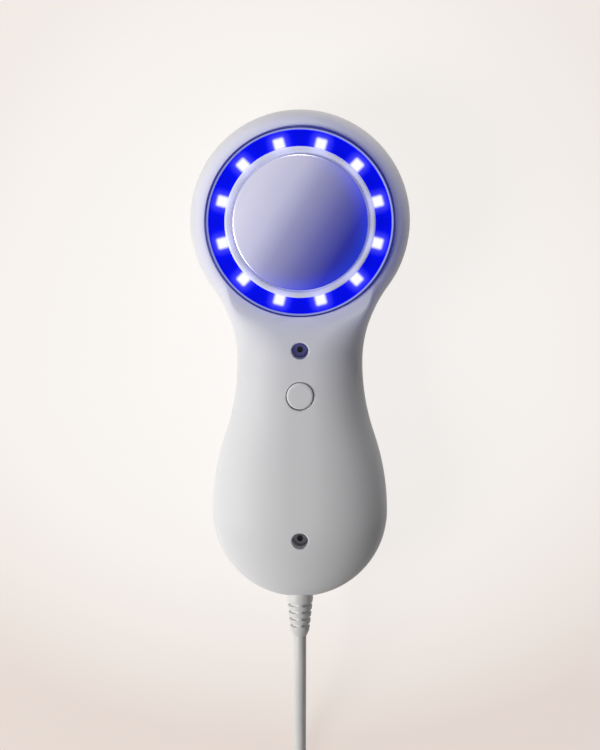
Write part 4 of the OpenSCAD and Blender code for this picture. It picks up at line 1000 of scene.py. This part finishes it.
class MASSAGER_OT_housings(bpy.types.Operator):
    """Lofts the two housings and cuts their openings"""
    bl_idname = "massager.housings"
    bl_label = "Housings"

    GRILLE_R = 26.6
    SCREW_HOLE_R = 1.65
    REAR_POST_R = 3.45
    # Walls round a recess and round the button, and how deep the button's wall reaches
    RECESS_WALL = 1.1
    BUTTON_WALL = 1.2
    BUTTON_WALL_DEPTH = 6.0
    # Gap round the trim and the grille, and width and height of the room behind the grille's rim
    FIT = 0.1
    GRILLE_ROOM = (1.1, 3.0)
    # The light trough: gap inside it, its floor and outer wall, and the wall's drop below the trim's seat
    TROUGH_GAP = 1.0
    TROUGH_FLOOR = 1.4
    TROUGH_WALL = 3.0
    TROUGH_DROP = 0.3
    # The strain relief's hole through the tail, with the pocket for its flange, as (radius, height)
    RELIEF_HOLE = ((0, -2), (4.8, -2), (4.8, 4.2), (6.1, 4.2), (6.1, 6.4), (0, 6.4))
    # Vents on each side, the angle between them, and their width, length, height and depth
    VENTS = 7
    VENT_STEP = 9.0
    VENT_SIZE = (2.2, 8.0)
    VENT_Z = 16.2
    VENT_DEPTH = 9.2

    def execute(self, context):
        outline, s = Outline(), settings("housing")
        sizes = mm(s.wall), mm(s.edge), mm(s.parting_gap)
        self.front(outline, *sizes)
        self.rear(outline, *sizes)
        return {"FINISHED"}

    def front(self, outline, wall, edge, gap):
        fit, ring = settings("fitting"), settings("ring")
        hole, recess = mm(fit.button_hole), mm(fit.recess_radius)
        shell = worked(half_shell(outline, FRONT, wall, gap), "front_housing.moulded")
        posts = bmesh.new()
        for y in SCREW_YS:
            pillar(posts, recess + self.RECESS_WALL, SPLIT_Z + gap, outline.crown_z(y) - wall / 2, y)
        crown, low = outline.crown_z(BUTTON_Y), SPLIT_Z - CLEAR
        pillar(posts, hole + self.BUTTON_WALL, crown - self.BUTTON_WALL_DEPTH, crown - wall / 2, BUTTON_Y, 64)
        combined(shell, posts, "UNION")
        cuts = bmesh.new()
        trim, channel = mm(ring.trim_radius) + self.FIT, mm(ring.lens_radius) - LENS_LEDGE
        turned(cuts, [(0, low), (channel, low), (channel, TRIM_SEAT_Z), (trim, TRIM_SEAT_Z),
                      *flare(trim, BEZEL_Z, edge), (0, BEZEL_Z + CLEAR)], 192)
        turned(cuts, [(0, low), (hole, low), *flare(hole, crown, edge * 0.8), (0, crown + CLEAR)], 72,
               y=BUTTON_Y)
        for y in SCREW_YS:
            self.cut_recess(cuts, outline, y, recess, edge)
        self.cut_relief(cuts, outline)
        combined(shell, cuts, "DIFFERENCE")
        # The light trough's floor, and its outer wall, which ends below the trim's seat
        inner, lip = mm(ring.plate_radius) + self.TROUGH_GAP, channel + self.TROUGH_WALL
        under, over = LIGHT_FLOOR_Z - self.TROUGH_FLOOR, TRIM_SEAT_Z - self.TROUGH_DROP
        trough = turned(bmesh.new(), [(inner, under), (lip, under), (lip, over), (channel, over),
                                      (channel, LIGHT_FLOOR_Z), (inner, LIGHT_FLOOR_Z)], 160, True)
        combined(shell, trough, "UNION")
        completed(shell, "housing_white")

    def cut_recess(self, cuts, outline, y, radius, edge):
        """One upright recess with the screw's hole below it, and a rounded rim at the crown"""
        crown, floor, low = outline.crown_z(y), outline.level_z(y) - RECESS_DEPTH, SPLIT_Z - CLEAR
        turned(cuts, [(0, low), (self.SCREW_HOLE_R, low), (self.SCREW_HOLE_R, floor), (radius, floor),
                      *flare(radius, crown, edge), (0, crown + CLEAR)], 64, y=y)

    def cut_relief(self, cuts, outline):
        bm = turned(bmesh.new(), self.RELIEF_HOLE, 72)
        merged(bm)
        laid(bm, -math.pi / 2, (0, outline.end_y, SPLIT_Z))
        hole = meshed(bm, "relief hole")
        cuts.from_mesh(hole)
        bpy.data.meshes.remove(hole)

    def rear(self, outline, wall, edge, gap):
        shell = worked(half_shell(outline, REAR, wall, gap), "rear_housing.moulded")
        posts = bmesh.new()
        for y in SCREW_YS:
            pillar(posts, self.REAR_POST_R, outline.crown_z(y, REAR) + wall / 2, SPLIT_Z - gap, y)
        combined(shell, posts, "UNION")
        cuts = bmesh.new()
        hole = self.GRILLE_R + self.FIT
        seat, top = hole + self.GRILLE_ROOM[0], wall + self.GRILLE_ROOM[1]
        turned(cuts, [(0, top), (seat, top), (seat, wall), (hole, wall),
                      *((r, -z) for r, z in flare(hole, 0, edge)), (0, -CLEAR)], 192)
        for side in (0, 180):
            for i in range(self.VENTS):
                self.cut_vent(cuts, outline, side + (i - (self.VENTS - 1) / 2) * self.VENT_STEP)
        self.cut_relief(cuts, outline)
        combined(shell, cuts, "DIFFERENCE")
        completed(shell, "housing_white")

    def cut_vent(self, cuts, outline, angle):
        """One upright slot with round ends through the side of the head"""
        slot = prism(cuts, stadium(*self.VENT_SIZE), outline.head_r - self.VENT_DEPTH, outline.head_r + 1)
        outwards = Matrix(((0, 0, 1), (1, 0, 0), (0, 1, 0)))
        around = Matrix.Rotation(math.radians(angle), 3, "Z")
        bmesh.ops.rotate(cuts, verts=slot, cent=(0, 0, 0), matrix=outwards)
        bmesh.ops.translate(cuts, verts=slot, vec=(0, 0, self.VENT_Z))
        bmesh.ops.rotate(cuts, verts=slot, cent=(0, 0, 0), matrix=around)


class MASSAGER_OT_grille(bpy.types.Operator):
    """Rounds the bars and the rim of the rear grille"""
    bl_idname = "massager.grille"
    bl_label = "Rear grille"

    def execute(self, context):
        bevelled_copy("rear_grille", 0.25, "housing_white", segments=3)
        return {"FINISHED"}


class MASSAGER_OT_light_ring(bpy.types.Operator):
    """Turns the trim, the lens, the collar and the seal of the lit ring"""
    bl_idname = "massager.light_ring"
    bl_label = "Light ring"

    LENS_T = 1.1
    LENS_GAP = 0.05
    SEAL_T = 0.55

    def execute(self, context):
        s = settings("ring")
        trim, lens = mm(s.trim_radius), mm(s.lens_radius)
        collar, plate = mm(s.collar_radius), mm(s.plate_radius)
        channel, seal = lens - LENS_LEDGE, plate + self.SEAL_T
        self.ring("trim_ring", "trim_blue", [
            (channel, TRIM_SEAT_Z, 0), (trim, TRIM_SEAT_Z, 0.1), (trim, TRIM_Z - 0.15, 0.45),
            (trim - 0.75, TRIM_Z, 0.3), (lens, TRIM_Z - 0.25, 0.35), (lens, LENS_Z, 0), (channel, LENS_Z, 0)])
        self.ring("light_lens", "lens_blue", self.band(
            collar + self.LENS_GAP, lens - self.LENS_GAP, LENS_Z, LENS_Z + self.LENS_T, 0.12))
        self.ring("plate_collar", "collar_white", [
            (seal, COLLAR_FOOT_Z, 0), (collar, COLLAR_FOOT_Z, 0), (collar, COLLAR_Z - 0.15, 0.85),
            (seal + 0.75, COLLAR_Z, 0.5), (seal, COLLAR_Z - 0.2, 0.4)])
        self.ring("plate_seal", "seal_grey", self.band(plate, seal, SKIRT_Z, SEAL_Z, 0.15))
        return {"FINISHED"}

    def band(self, inner, outer, low, high, cut):
        """Corners of a square ring whose upper edges are rounded"""
        return [(inner, low, 0), (outer, low, 0), (outer, high, cut), (inner, high, cut)]

    def ring(self, node, finish, corners):
        bm = turned(bmesh.new(), rounded(corners, 6), 224, True)
        completed(worked(bm, node + ".turned"), finish, sharp=SHARP_TURNED)


class MASSAGER_OT_cold_plate(bpy.types.Operator):
    """Turns the domed cold plate with its rounded edge and its skirt"""
    bl_idname = "massager.cold_plate"
    bl_label = "Cold plate"

    EDGE = 0.6
    SKIRT_T = 1.5
    PLATE_T = 2.0
    DOME_STEPS = 28

    def execute(self, context):
        s = settings("ring")
        r, dome = mm(s.plate_radius), mm(s.plate_dome)
        rim = r - self.EDGE
        bend = (rim * rim + dome * dome) / (2 * dome)
        skirt, under = r - self.SKIRT_T, PLATE_EDGE_Z - self.PLATE_T
        profile = [(0, under), (skirt, under), (skirt, SKIRT_Z), (r, SKIRT_Z)]
        profile += [on_circle((rim, PLATE_EDGE_Z - self.EDGE), self.EDGE, math.radians(8.5 * i))
                    for i in range(11)]
        profile += [(x, PLATE_EDGE_Z + dome - bend + math.sqrt(bend ** 2 - x ** 2))
                    for x in [rim * (1 - i / self.DOME_STEPS) for i in range(1, self.DOME_STEPS + 1)]]
        bm = turned(bmesh.new(), profile, 192)
        completed(worked(bm, "cold_plate.turned"), "plate_metal", sharp=SHARP_TURNED)
        return {"FINISHED"}


class MASSAGER_OT_button(bpy.types.Operator):
    """Turns the push button with its brim and the foot that reaches the switch"""
    bl_idname = "massager.button"
    bl_label = "Button"

    # How far the cap stands over the crown, and its brim's drop below the crown, thickness and width
    STANDS = 0.6
    BRIM = (6.3, 0.8, 0.9)
    # Radius of the foot, and the height at which it stands on the switch
    FOOT = (1.7, 25.2)

    def execute(self, context):
        s = settings("fitting")
        r = mm(s.button_hole) - mm(s.button_gap)
        crown = Outline().crown_z(BUTTON_Y)
        (foot_r, foot_z), (drop, thick, wide) = self.FOOT, self.BRIM
        top, over, brim = crown + self.STANDS, crown - drop, r + wide
        under = over - thick
        corners = [(0, foot_z, 0), (foot_r, foot_z, 0.2), (foot_r, under, 0.2), (brim, under, 0.1),
                   (brim, over, 0.1), (r, over, 0), (r, top - 0.04, mm(s.button_edge)),
                   (r * 0.62, top, 0.8), (0, top, 0)]
        bm = turned(bmesh.new(), rounded(corners, 6), 96, y=BUTTON_Y)
        completed(worked(bm, "button_cap.turned"), "housing_white", "button", sharp=SHARP_TURNED)
        return {"FINISHED"}


class MASSAGER_OT_housing_screws(bpy.types.Operator):
    """Turns the two blackened screws and sinks their hexagon sockets"""
    bl_idname = "massager.housing_screws"
    bl_label = "Housing screws"

    SHANK_R = 1.45
    HEAD_GAP = 0.2
    HEAD_H = 1.798
    TIP_Z = SPLIT_Z - 9.6
    # Share of the head that is left below the socket
    SOCKET_FLOOR = 0.4

    def execute(self, context):
        outline = Outline()
        head_r = mm(settings("fitting").recess_radius) - self.HEAD_GAP
        shank_r, tip = self.SHANK_R, self.TIP_Z
        bm, sockets = bmesh.new(), bmesh.new()
        for y in SCREW_YS:
            under = outline.level_z(y) - RECESS_DEPTH
            top = under + self.HEAD_H
            corners = [(0, tip, 0), (shank_r - 0.7, tip, 0.2), (shank_r, tip + 1.2, 0.3),
                       (shank_r, under, 0.1), (head_r, under, 0.1), (head_r, top, 0.4),
                       (1.75, top, 0.15), (0, top, 0)]
            turned(bm, rounded(corners, 5), 72, y=y)
            hexagon = [on_circle((0, y), SOCKET_R, math.pi / 3 * i) for i in range(6)]
            prism(sockets, hexagon, under + self.SOCKET_FLOOR * self.HEAD_H, top + CLEAR)
        screws = worked(bm, "housing_screws.turned")
        combined(screws, sockets, "DIFFERENCE")
        completed(screws, "screw_black")
        return {"FINISHED"}


class MASSAGER_OT_strain_relief(bpy.types.Operator):
    """Turns the strain relief, whose notches fade out towards its front and back"""
    bl_idname = "massager.strain_relief"
    bl_label = "Strain relief"

    GROOVES = 4
    # Radius and thickness of the flange in the tail's pocket
    FLANGE = (6.0, 2.0)
    # Depth inside the tail, length of the plain collar outside it, and length of the cone at the free end
    INSIDE = 6.3
    COLLAR = 0.8
    CONE = 1.8
    # Corners of one notch, as (radius, height, rounding) from its outer edge
    NOTCH = ((0.08, -1.0, 0.26), (-0.95, -0.92, 0.2), (-0.95, -0.08, 0.2), (0, 0, 0.26))
    # Share of x from which a notch starts to open, and over which it does
    OPENS = (0.12, 0.5)

    def execute(self, context):
        s = settings("fitting")
        root, tip, reach = mm(s.relief_root), mm(s.relief_tip), mm(s.relief_length)
        lead_r = mm(settings("lead").diameter) / 2
        (flange_r, flange_t), (start, span) = self.FLANGE, self.OPENS
        notched, end = self.INSIDE + self.COLLAR, self.INSIDE + reach
        taper = reach - self.CONE
        pitch = (taper - self.COLLAR) / (self.GROOVES + 0.7)
        corners = [(0, 0, 0), (flange_r, 0, 0.1), (flange_r, flange_t, 0.1), (root, flange_t, 0),
                   (root, notched, 0)]
        for i in range(1, self.GROOVES + 1):
            corners += shifted(self.NOTCH, mix(root, tip, i * pitch / taper), notched + i * pitch)
        corners += [(tip, end - self.CONE, 0.4), (lead_r + 0.25, end, 0.15), (0, end, 0)]
        bm = turned(bmesh.new(), rounded(corners, 5), 96)
        # The notches are filled up towards the front and the back, where the sides' share of x is small
        for v in bm.verts:
            outside = v.co.z - self.INSIDE
            r = v.co.xy.length
            full = mix(root, tip, outside / taper)
            if self.COLLAR < outside < taper and lead_r < r < full:
                kept = smooth((abs(v.co.x) / r - start) / span)
                grown = mix(full, r, kept) / r
                v.co.x *= grown
                v.co.y *= grown
        laid(bm, math.pi / 2, (0, Outline().end_y + self.INSIDE, SPLIT_Z))
        completed(worked(bm, "strain_relief.moulded"), "soft_white")
        return {"FINISHED"}


class MASSAGER_OT_inner_parts(bpy.types.Operator):
    """Gives the parts inside the body their finishes, and rounds those seen through the grille"""
    bl_idname = "massager.inner_parts"
    bl_label = "Inner parts"

    KEPT = {
        "lamp_board": "board_green", "lamps_smd": "lamp_white", "module_insulation": "foam_grey",
        "module_ceramics": "ceramic_white", "module_pellets": "pellet_grey", "heat_sink": "sink_metal",
        "plate_screws": "screw_steel", "sink_screws": "screw_steel", "fan_bearing": "bronze",
        "fan_stator": "copper_brown", "fan_shaft": "screw_steel", "main_board": "board_green",
        "board_chips": "part_black", "board_capacitor": "capacitor_blue", "board_inductor": "part_black",
        "wire_sockets": "socket_ivory", "inner_wires": "wire_sleeve", "board_screws": "screw_steel",
        "switch_body": "part_black", "switch_plunger": "plunger_amber", "plug_insulator": "part_black",
        "plug_contact": "bronze"}

    def execute(self, context):
        for node, finish in self.KEPT.items():
            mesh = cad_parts[node].data
            mesh.materials.clear()
            mesh.materials.append(bpy.data.materials[finish])
        bevelled_copy("fan_frame", 0.2, "part_black")
        bevelled_copy("fan_rotor", 0.1, "part_black", "fan", segments=1)
        bevelled_copy("fan_screws", 0.12, "screw_steel")
        return {"FINISHED"}


# The stage

class MASSAGER_OT_stage(bpy.types.Operator):
    """Sets up the camera, the lamps, the pale floor and the light from all sides"""
    bl_idname = "massager.stage"
    bl_label = "Stage"

    TARGET = Vector((0, -53.8, 22.0)) * MM
    DISTANCE = 0.555
    FRAME_HEIGHT = 0.2625
    # Name, place, size, setting of the power, and colour of each lamp
    LAMPS = (
        ("key lamp", (-0.640, -0.240, 0.530), 0.4, "key_power", (1.0, 0.995, 0.985)),
        ("top lamp", (0.0, 0.77, 0.23), 0.24, "top_power", (0.98, 0.985, 1.0)),
        ("side lamp", (0.8, -0.1, 0.25), 0.2, "side_power", (0.95, 0.965, 1.0)))
    # What shiny parts mirror, and the share of the floor's light that the world behind it gives
    MIRRORED = (0.9, 0.9, 0.93)
    HORIZON = 0.875
    # Place of the middle colour on the floor's ramp, and the share of the floor's colour that needs no lamp
    MIDDLE = 0.33
    OWN_SHARE = 0.86
    # The floor's reach to each side, and how far it lies under the object, in metres
    FLOOR_REACH = 3.0
    FLOOR_DROP = 0.0002
    # How fast the floor darkens away from the view's middle, up to a limit, and again towards its lower edge
    AWAY, LIMIT, BELOW = 0.3, 0.52, 0.55

    def execute(self, context):
        context.scene.view_settings.view_transform = "Standard"
        s = settings("stage")
        self.camera(context.scene, s.view_angle)
        for name, place, size, setting, tint in self.LAMPS:
            self.lamp(name, place, size, getattr(s, setting), tint)
        self.world(context.scene, s)
        self.floor(s)
        return {"FINISHED"}

    def camera(self, scene, tilt):
        data = bpy.data.cameras.new("camera")
        data.sensor_width = 36.0
        data.lens = data.sensor_width * self.DISTANCE / self.FRAME_HEIGHT
        data.clip_start = 0.01
        camera = linked("camera", data)
        camera.location = self.TARGET + Vector((0, math.sin(tilt), math.cos(tilt))) * self.DISTANCE
        camera.rotation_euler = (-tilt, 0, 0)
        scene.camera = camera

    def lamp(self, name, place, size, energy, tint):
        data = bpy.data.lights.new(name, "AREA")
        data.shape = "SQUARE"
        data.size = size
        data.energy = energy
        data.color = tint
        lamp = linked(name, data)
        lamp.location = place
        lamp.rotation_euler = (self.TARGET - Vector(place)).to_track_quat("-Z", "Y").to_euler()

    def world(self, scene, s):
        """Pale behind the object, and dimmer where it lights it"""
        world = bpy.data.worlds.new("studio")
        world.use_nodes = True
        net = Net(world.node_tree)
        ray = net.add("LightPath").outputs
        glossy = net.blend(ray["Is Glossy Ray"], (s.fill_level,) * 3, self.MIRRORED)
        seen = net.math("MAXIMUM", ray["Is Camera Ray"], ray["Is Transmission Ray"])
        shade = net.blend(seen, glossy, shaded(s.middle_colour, self.HORIZON))
        net.feed(shade, world.node_tree.nodes["Background"].inputs["Color"])
        scene.world = world

    def floor(self, s):
        """A large sheet just under the object, palest behind it, which lights itself for the camera"""
        bm = bmesh.new()
        bmesh.ops.create_grid(bm, x_segments=8, y_segments=8, size=self.FLOOR_REACH)
        bmesh.ops.translate(bm, verts=bm.verts[:], vec=(0, 0, -self.FLOOR_DROP))
        floor = linked("floor", meshed(bm, "floor"))
        material = bpy.data.materials.new("floor paper")
        material.use_nodes = True
        net = Net(material.node_tree)
        place = net.parts(net.place())
        # Shares of half the view's width and height, where width is four fifths of height
        across = net.math("DIVIDE", place[0], self.FRAME_HEIGHT * 0.4)
        along = net.math("DIVIDE", net.math("SUBTRACT", place[1], self.TARGET.y), self.FRAME_HEIGHT * 0.5)
        below = net.math("MAXIMUM", net.product(along, -1.0), 0.0)
        away = net.math("ADD", net.product(across, across), net.product(along, along))
        share = net.math("ADD", net.math("MINIMUM", net.product(away, self.AWAY), self.LIMIT),
                         net.product(below, below, self.BELOW), clamp=True)
        # Past the view's corners the paper goes back to its middle colour
        beyond = net.ranged(away, 1.9, 6.0, kind="SMOOTHSTEP")
        share = net.math("ADD", net.product(share, net.math("SUBTRACT", 1.0, beyond)),
                         net.product(beyond, self.MIDDLE))
        paper = net.ramp(share, ((0.0, s.near_colour), (self.MIDDLE, s.middle_colour), (1.0, s.far_colour)))
        nodes = material.node_tree.nodes
        shader = nodes["Principled BSDF"]
        net.feed(paper, shader.inputs["Base Color"])
        net.feed(0.9, shader.inputs["Roughness"])
        ray = net.add("LightPath").outputs
        seen = net.math("MAXIMUM", net.math("MAXIMUM", ray["Is Camera Ray"], ray["Is Glossy Ray"]),
                        ray["Is Transmission Ray"])
        glow = net.add("Emission", {"Color": paper}).outputs[0]
        mixed = net.add("MixShader", {0: net.product(seen, self.OWN_SHARE), 1: shader.outputs[0], 2: glow})
        net.feed(mixed.outputs[0], nodes["Material Output"].inputs["Surface"])
        floor.data.materials.append(material)


class MASSAGER_PT_pieces(bpy.types.Panel):
    """Shows the settings and the steps that build the pieces in the sidebar"""
    bl_idname = "MASSAGER_PT_pieces"
    bl_label = "Massager"
    bl_space_type = "VIEW_3D"
    bl_region_type = "UI"
    bl_category = "Massager"

    def draw(self, context):
        for name in SETTINGS:
            group, box = settings(name), self.layout.box()
            for key in group.bl_rna.properties.keys():
                if key not in ("rna_type", "name"):
                    box.prop(group, key)
        for operator in OPERATORS:
            self.layout.operator(operator.bl_idname)


SETTINGS = {"housing": HousingSettings, "ring": RingSettings, "fitting": FittingSettings,
            "lead": LeadSettings, "stage": StageSettings}
OPERATORS = (MASSAGER_OT_stage, MASSAGER_OT_plug, MASSAGER_OT_inner_parts, MASSAGER_OT_lead,
             MASSAGER_OT_housings, MASSAGER_OT_grille, MASSAGER_OT_light_ring, MASSAGER_OT_cold_plate,
             MASSAGER_OT_button, MASSAGER_OT_housing_screws, MASSAGER_OT_strain_relief)
CLASSES = (*SETTINGS.values(), *OPERATORS, MASSAGER_PT_pieces)


def register():
    for item in CLASSES:
        bpy.utils.register_class(item)
    for name, group in SETTINGS.items():
        setattr(bpy.types.Scene, "massager_" + name, bpy.props.PointerProperty(type=group))


def unregister():
    for name in SETTINGS:
        delattr(bpy.types.Scene, "massager_" + name)
    for item in reversed(CLASSES):
        bpy.utils.unregister_class(item)


def main():
    register()
    make_finishes()
    for operator in OPERATORS:
        area, name = operator.bl_idname.split(".")
        getattr(getattr(bpy.ops, area), name)()


if __name__ == "__main__":
    main()
